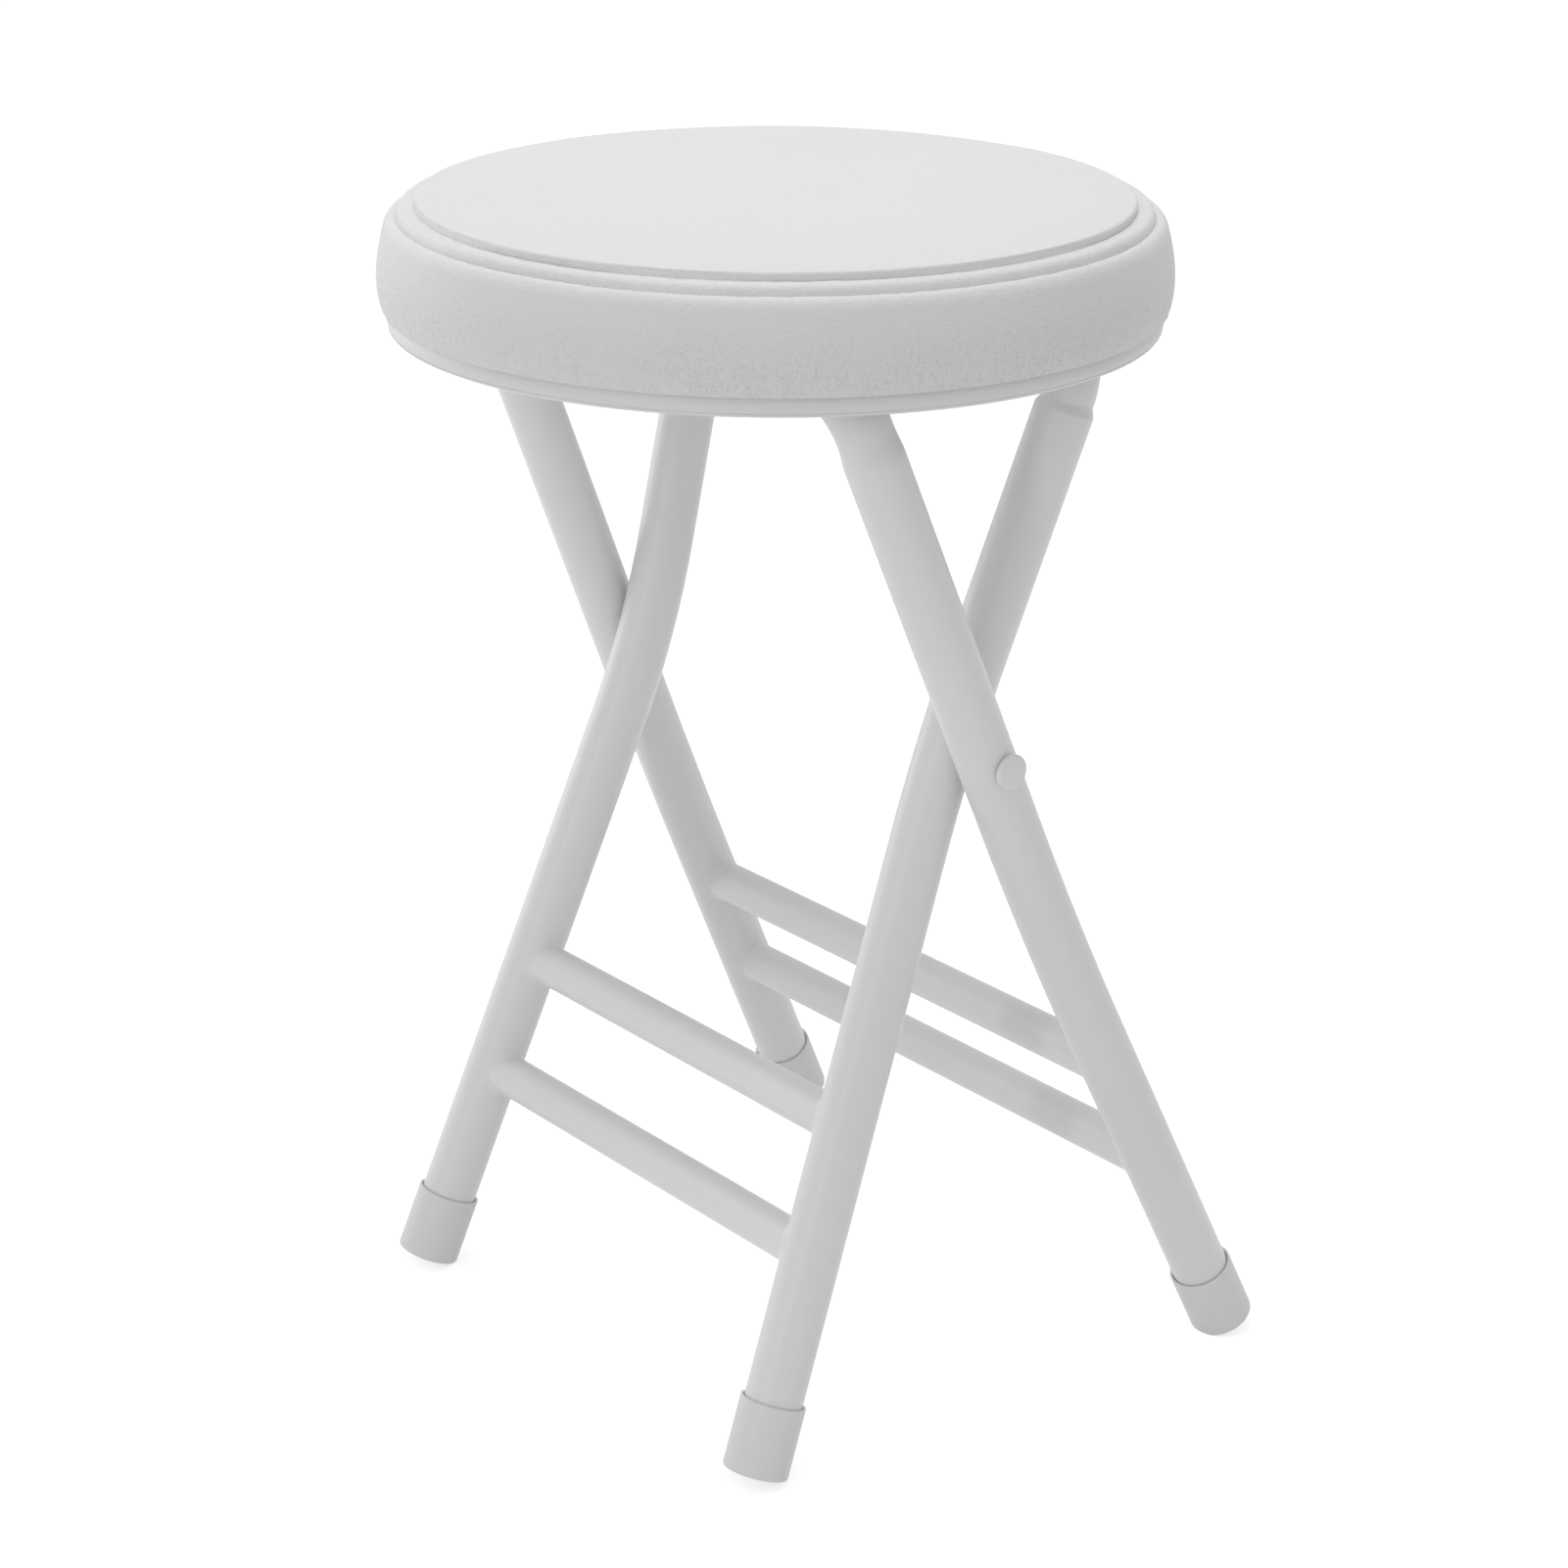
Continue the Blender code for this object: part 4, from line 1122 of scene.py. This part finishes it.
for hand, _ in HANDS:
    for kind, label in (("hinge_saddle", "pressed_saddle"), ("catch_hook", "pressed_catch")):
        source = frame["nodes"][f"{hand}_{kind}"]
        strap = new_piece(f"{hand}_{label}", source.data.copy())
        cage = opened(strap)
        bmesh.ops.remove_doubles(cage, verts=cage.verts, dist=LOOSE_REACH)
        bmesh.ops.dissolve_limit(cage, angle_limit=FLAT_ANGLE, verts=cage.verts, edges=cage.edges)
        closed(cage, strap)
        edge = strap.modifiers.new("edge", "BEVEL")
        edge.width = STRAP_EDGE
        edge.segments = 2
        edge.limit_method = "ANGLE"
        edge.angle_limit = STRAP_CORNER
        applied(strap)
        shaded(strap)
        dress(strap, "seat", "fitting_paint", fitting_coat, f"{hand}_{kind}")
        print(strap.name, len(strap.data.polygons), "faces")

# %% [markdown]
# ## Screws under the seat
#
# Twelve screws hold the saddles, the catches and the pan. The pan's four are a little shorter,
# because no strap lies under their heads. One screw of each length is modelled, with a cross
# recess, and Geometry Nodes puts a copy on every point of a small cloud, each turned by its own
# random amount as hand-driven screws are. The seed is fixed, so each run gives the same turns.
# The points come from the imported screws, so the copies can't miss their holes.

# %% One screw
SCREW_NODES = [node for node in frame["nodes"] if "screw" in node]
SCREW_HEAD = 0.0038
SCREW_TAPER = 0.96
SCREW_SHANK = 0.0018
HEAD_HEIGHT = 0.0022
TIP_EDGE = 0.0004
SCREW_HEAD_EDGE = 0.0002
HEAD_ROUNDING = 0.0014
RECESS_LENGTH = 0.0042
RECESS_WIDTH = 0.0008
RECESS_DEPTH = 0.0013
SCREW_SIDES = 32


def pan_head_screw(length):
    """A screw whose head hangs below z = 0 and whose shank stands above it."""
    corners = [(0, length, 0), (SCREW_SHANK, length - 2 * SCREW_SHANK, TIP_EDGE), (SCREW_SHANK, 0, 0)]
    corners += [(SCREW_HEAD, 0, SCREW_HEAD_EDGE)]
    corners += [(SCREW_HEAD * SCREW_TAPER, -HEAD_HEIGHT, HEAD_ROUNDING), (0, -HEAD_HEIGHT, 0)]
    screw = turned("pan_head_screw", rounded(corners), SCREW_SIDES)
    slot_size = Matrix.Diagonal((RECESS_LENGTH, RECESS_WIDTH, 2 * RECESS_DEPTH, 1))
    for quarter in range(2):
        cage = bmesh.new()
        bmesh.ops.create_cube(cage, size=1)
        cage.transform(Matrix.Rotation(quarter * pi / 2, 4, "Z") @ slot_size)
        cage.transform(Matrix.Translation((0, 0, -HEAD_HEIGHT)))
        cut_by(screw, piece_from(cage, "recess"))
    shaded(screw)
    return screw


print("screws to place:", len(SCREW_NODES))

# %% The tree that places the screws
LARGEST_FLOAT = 3
RANDOM_FLOAT = 1

placed_screws, given, made = new_geometry_tree(
    "placed_screws", [("Screw", "Object", None), ("Largest turn", "Float", pi / 2), ("Seed", "Int", 4),
                      ("Zinc", "Material", None)])
screw_shape = add_node(placed_screws, "GeometryNodeObjectInfo", Object=given["Screw"])
chance = add_node(placed_screws, "FunctionNodeRandomValue", Seed=given["Seed"])
feed(chance.inputs[LARGEST_FLOAT], given["Largest turn"])
turn = add_node(placed_screws, "ShaderNodeCombineXYZ", Z=chance.outputs[RANDOM_FLOAT])
copies = add_node(placed_screws, "GeometryNodeInstanceOnPoints", Points=given["Geometry"],
                  Instance=screw_shape.outputs["Geometry"], Rotation=turn.outputs[0])
finish_tree(placed_screws, copies.outputs[0], given["Zinc"], made)
print("tree", placed_screws.name, "has", len(placed_screws.nodes), "nodes")

# %% Screws in place
for level, label in ((False, "strap"), (True, "pan")):
    nodes = [node for node in SCREW_NODES if node.startswith("pan_") == level]
    corners = [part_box(node) for node in nodes]
    points = [((low.x + high.x) / 2, (low.y + high.y) / 2, low.z + HEAD_HEIGHT) for low, high in corners]
    model = pan_head_screw(corners[0][1].z - corners[0][0].z - HEAD_HEIGHT)
    cloud_mesh = bpy.data.meshes.new(f"{label}_screws")
    cloud_mesh.from_pydata(points, [], [])
    screws = grown(new_piece(f"{label}_screws", cloud_mesh), placed_screws, Screw=model, Zinc=screw_zinc)
    bpy.data.objects.remove(model)
    shaded(screws)
    dress(screws, "seat", "screw_zinc", screw_zinc, *nodes)
    print(screws.name, len(points))

# %% [markdown]
# ## The cushion's section
#
# Foam is covered with vinyl that is sewn in two rings near the top edge. Each seam is a valley with
# soft banks: the crown rolls down into the first, a narrow bead stands between the two, and a full
# side starts at the second and is drawn in to the hem. Valleys could be pressed into a smooth skin,
# but then their banks stay too even. So the section is written as a chain of Bezier curves, one for
# each swelling, which meet in the sharp bottoms of the valleys.

# %% Cushion section
cushion_low, cushion_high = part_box("seat_cushion")
SEAT_RADIUS = cushion_high.x
CUSHION_BOTTOM = cushion_low.z
CROWN = 0.0031
CROWN_RADIUS = 0.1336
CROWN_POWER = 4
CROWN_ROLL = 0.1278
SEAT_EDGE = cushion_high.z - CROWN
HEM = Vector((0.1429, CUSHION_BOTTOM + 0.0006))
HEM_FOLD = Vector((0.1415, CUSHION_BOTTOM - 0.0002))
INNER_SEAM = Vector((0.1300, SEAT_EDGE - 0.0028))
OUTER_SEAM = Vector((0.1368, SEAT_EDGE - 0.0064))
SIDE_TOP = Vector((0.1420, SEAT_EDGE - 0.0109))
BANK_PULLS = (Vector((0.1302, SEAT_EDGE + 0.0003)), Vector((0.1300, SEAT_EDGE + 0.0005)))
BEAD_PULLS = (Vector((0.1328, SEAT_EDGE - 0.0025)), Vector((0.1367, SEAT_EDGE - 0.0013)))
LIP_PULLS = (Vector((0.1388, SEAT_EDGE - 0.0054)), Vector((0.1410, SEAT_EDGE - 0.0066)))
SIDE_PULLS = (Vector((0.1435, SEAT_EDGE - 0.0169)), Vector((0.1466, SEAT_EDGE - 0.0285)))
CROWN_STEPS = 22
SWELL_STEPS = 16
SIDE_STEPS = 30


def crown_height(radius):
    """Height of the crown at a radius."""
    return SEAT_EDGE + CROWN * (1 - (radius / CROWN_RADIUS) ** CROWN_POWER)


def bezier(start, pulls, end, steps):
    """Points on a cubic Bezier curve, without its last one."""
    first_pull, second_pull = pulls
    points = []
    for i in range(steps):
        share = i / steps
        rest = 1 - share
        points.append(start * rest ** 3 + first_pull * 3 * share * rest ** 2
                      + second_pull * 3 * share ** 2 * rest + end * share ** 3)
    return points


def smooth_section():
    """Points from the middle of the crown, over the two seams and down the side, to the hem."""
    radii = [CROWN_ROLL * i / CROWN_STEPS for i in range(CROWN_STEPS)]
    points = [Vector((radius, crown_height(radius))) for radius in radii]
    roll = Vector((CROWN_ROLL, crown_height(CROWN_ROLL)))
    points += bezier(roll, BANK_PULLS, INNER_SEAM, SWELL_STEPS)
    points += bezier(INNER_SEAM, BEAD_PULLS, OUTER_SEAM, SWELL_STEPS)
    points += bezier(OUTER_SEAM, LIP_PULLS, SIDE_TOP, SWELL_STEPS)
    points += bezier(SIDE_TOP, SIDE_PULLS, HEM, SIDE_STEPS)
    return [Vector((min(point.x, SEAT_RADIUS), point.y)) for point in points] + [HEM]


def outward(points, i):
    """Unit vector out of the section at a point."""
    along = points[min(i + 1, len(points) - 1)] - points[max(i - 1, 0)]
    return Vector((-along.y, along.x)).normalized()


section = smooth_section()
print("section of", len(section), "points, fullest at", round(max(p.x for p in section) * 1000, 1), "mm")

# %% [markdown]
# ## Padding by simulation
#
# A turned cushion looks like turned wood. A real cover is pushed out by its foam, a little more
# here than there. Cloth simulation with an inner pressure gives just that: the shape is remeshed
# into even faces, the seams and the hem are held, and the pressure lifts what lies between. How
# far the simulated skin lies from the turned one, less the mean of each ring, is then laid over
# the smooth section. So the section keeps its measured form, and the cloth adds its unevenness,
# at a share of its height, because a tightly filled new cushion shows little of it.

# %% Simulate the cover
PADDING_STEPS = 20
PAD_SHRINK = 0.0015
PAD_SIDES = 128
VOXEL = 0.005
PRESSURE = 4.0
STRETCH_STIFFNESS = 40
BENDING_STIFFNESS = 3
MOST_MOVE = 0.005
FOAM_UNEVENNESS = 0.0011
FOAM_LUMP = 16.0


def closed_section(points, shrink):
    """A plain closed section, drawn in by a distance."""
    inner = [point - outward(points, i) * shrink for i, point in enumerate(points)]
    inner[0].x = 0
    return inner + [Vector((0, CUSHION_BOTTOM + shrink))]


def lumpy(item):
    """Make foam slightly uneven, the same way each time."""
    for vertex in item.data.vertices:
        amount = noise.noise(vertex.co * FOAM_LUMP) * FOAM_UNEVENNESS
        vertex.co += vertex.normal * amount


def simulated_cover():
    """Remesh a slightly smaller cushion and blow it up as cloth, with seams and hem held."""
    pad = turned("foam_pad", closed_section(smooth_section(), PAD_SHRINK), PAD_SIDES)
    remesh = pad.modifiers.new("even_faces", "REMESH")
    remesh.mode = "VOXEL"
    remesh.voxel_size = VOXEL
    applied(pad)
    lumpy(pad)
    start = [vertex.co.copy() for vertex in pad.data.vertices]
    held = pad.vertex_groups.new(name="held")
    for vertex in pad.data.vertices:
        radius = hypot(vertex.co.x, vertex.co.y)
        in_seam = abs(radius - (INNER_SEAM.x + OUTER_SEAM.x) / 2) < VOXEL and vertex.co.z > SIDE_TOP.y
        if in_seam or vertex.co.z < CUSHION_BOTTOM + VOXEL:
            held.add([vertex.index], 1.0, "REPLACE")
    cloth = pad.modifiers.new("cover", "CLOTH")
    cloth.settings.use_pressure = True
    cloth.settings.uniform_pressure_force = PRESSURE
    cloth.settings.vertex_group_mass = "held"
    cloth.settings.tension_stiffness = STRETCH_STIFFNESS
    cloth.settings.compression_stiffness = STRETCH_STIFFNESS
    cloth.settings.bending_stiffness = BENDING_STIFFNESS
    cloth.settings.effector_weights.gravity = 0
    cloth.point_cache.frame_end = PADDING_STEPS
    for step in range(1, PADDING_STEPS + 1):
        bpy.context.scene.frame_set(step)
    applied(pad)
    bpy.context.scene.frame_set(1)
    for vertex, origin in zip(pad.data.vertices, start):
        way = vertex.co - origin
        if way.length > MOST_MOVE:
            vertex.co = origin + way.normalized() * MOST_MOVE
    rounder = pad.modifiers.new("rounder", "SUBSURF")
    rounder.levels = 1
    rounder.render_levels = 1
    return applied(pad)


cover = None
cover = simulated_cover()
print("cover simulated on", len(cover.data.vertices), "points")

# %% [markdown]
# ## Building the cushion
#
# The fine skin is a grid of rings from the crown's middle to the hem. The simulated cover is
# read by a ray from outside each point, and its difference is smoothed and added. Then the
# seams pull: beside a seam the cover is gathered into tiny puckers, uneven along the ring, and
# they fade within a few millimetres. The underside has the deep recess that board and pan fill.

# %% Cushion skin
CUSHION_SEGMENTS = 400
RECESS_RADIUS = DISH_RADIUS + CLEARANCE
RECESS_TOP = board_high.z + CLEARANCE
RECESS_ROUNDING = 0.001
HEM_TURN = Vector((0.0004, 0.0005))
EDGE_FADE_RINGS = 4
PUCKER_DEPTH = 0.00032
PUCKER_REACH = 0.0028
PUCKER_LENGTH = 0.0042
UNEVEN_SHARE = 0.35
MOST_UNEVEN = 0.0004
RAY_START = 0.02
SOFTENING_ROUNDS = 6
SEAM_NOISE_STEP = 10
CUSHION_ANGLE = radians(60)


def pucker(point, angle):
    """Depth of the puckers beside the two seams and above the hem, at a point of the section."""
    depth = 0.0
    for number, seam in enumerate((INNER_SEAM, OUTER_SEAM, HEM)):
        nearness = exp(-((point - seam).length / PUCKER_REACH) ** 2)
        round_the_seam = Vector((cos(angle), sin(angle), 0)) * (seam.x / PUCKER_LENGTH)
        place = round_the_seam + Vector((0, 0, SEAM_NOISE_STEP * number))
        depth += PUCKER_DEPTH * nearness * noise.noise(place)
    return depth


def ring_offsets(tree, point, out, angles):
    """How far the simulated cover lies from a ring of the section, less the ring's mean."""
    offsets = []
    for angle in angles:
        spin = Matrix.Rotation(angle, 3, "Z")
        place = spin @ Vector((point.x, 0, point.y))
        way = spin @ Vector((out.x, 0, out.y))
        hit, _, _, _ = tree.ray_cast(place + way * RAY_START, -way)
        offsets.append((hit - place).dot(way) if hit else 0.0)
    mean = sum(offsets) / len(offsets)
    return [max(-MOST_UNEVEN, min(MOST_UNEVEN, UNEVEN_SHARE * (offset - mean))) for offset in offsets]


def softened(rows):
    """Average each ring's offsets with their neighbours on the ring and on the rings beside it."""
    for _ in range(SOFTENING_ROUNDS):
        new_rows = []
        for i, row in enumerate(rows):
            above = rows[max(i - 1, 0)]
            below = rows[min(i + 1, len(rows) - 1)]
            count = len(row)
            new_rows.append([(2 * row[j] + row[j - 1] + row[(j + 1) % count] + above[j] + below[j]) / 6
                             for j in range(count)])
        rows = new_rows
    return rows


angles = [2 * pi * i / CUSHION_SEGMENTS for i in range(CUSHION_SEGMENTS)]
outs = [outward(section, i) for i in range(len(section))]
rows = [[0.0] * CUSHION_SEGMENTS for _ in section]
if cover:
    cover_tree = BVHTree.FromObject(cover, bpy.context.evaluated_depsgraph_get())
    rows = softened([ring_offsets(cover_tree, point, out, angles) for point, out in zip(section, outs)])
    bpy.data.objects.remove(cover)
fading = []
for i, point in enumerate(section):
    rings_to_edge = min(i, len(section) - 1 - i)
    to_seam = min((point - INNER_SEAM).length, (point - OUTER_SEAM).length)
    fading.append(min(1.0, rings_to_edge / EDGE_FADE_RINGS, to_seam / PUCKER_REACH))
print("cover differs by up to", round(1000 * max(abs(v) for row in rows for v in row), 2), "mm")

# %% Cushion
cage = bmesh.new()
rings = [add_ring(cage, 0, section[0].y, CUSHION_SEGMENTS)]
for i in range(1, len(section)):
    ring = []
    for j, angle in enumerate(angles):
        amount = rows[i][j] * fading[i] - pucker(section[i], angle)
        point = section[i] + outs[i] * amount
        ring.append(cage.verts.new((point.x * cos(angle), point.x * sin(angle), point.y)))
    rings.append(ring)
underside = [HEM - HEM_TURN, HEM_FOLD, (RECESS_RADIUS + RECESS_ROUNDING, HEM_FOLD.y),
             (RECESS_RADIUS, CUSHION_BOTTOM + RECESS_ROUNDING),
             (RECESS_RADIUS, RECESS_TOP - RECESS_ROUNDING),
             (RECESS_RADIUS - RECESS_ROUNDING, RECESS_TOP), (0, RECESS_TOP)]
rings += [add_ring(cage, radius, height, CUSHION_SEGMENTS) for radius, height in underside]
join_rings(cage, zip(rings, rings[1:]), CUSHION_SEGMENTS)
bmesh.ops.recalc_face_normals(cage, faces=cage.faces)
cushion = piece_from(cage, "padded_cushion")
shaded(cushion, CUSHION_ANGLE)
dress(cushion, "seat", "cushion_vinyl", vinyl, "seat_cushion")
print("cushion", len(cushion.data.polygons), "faces")
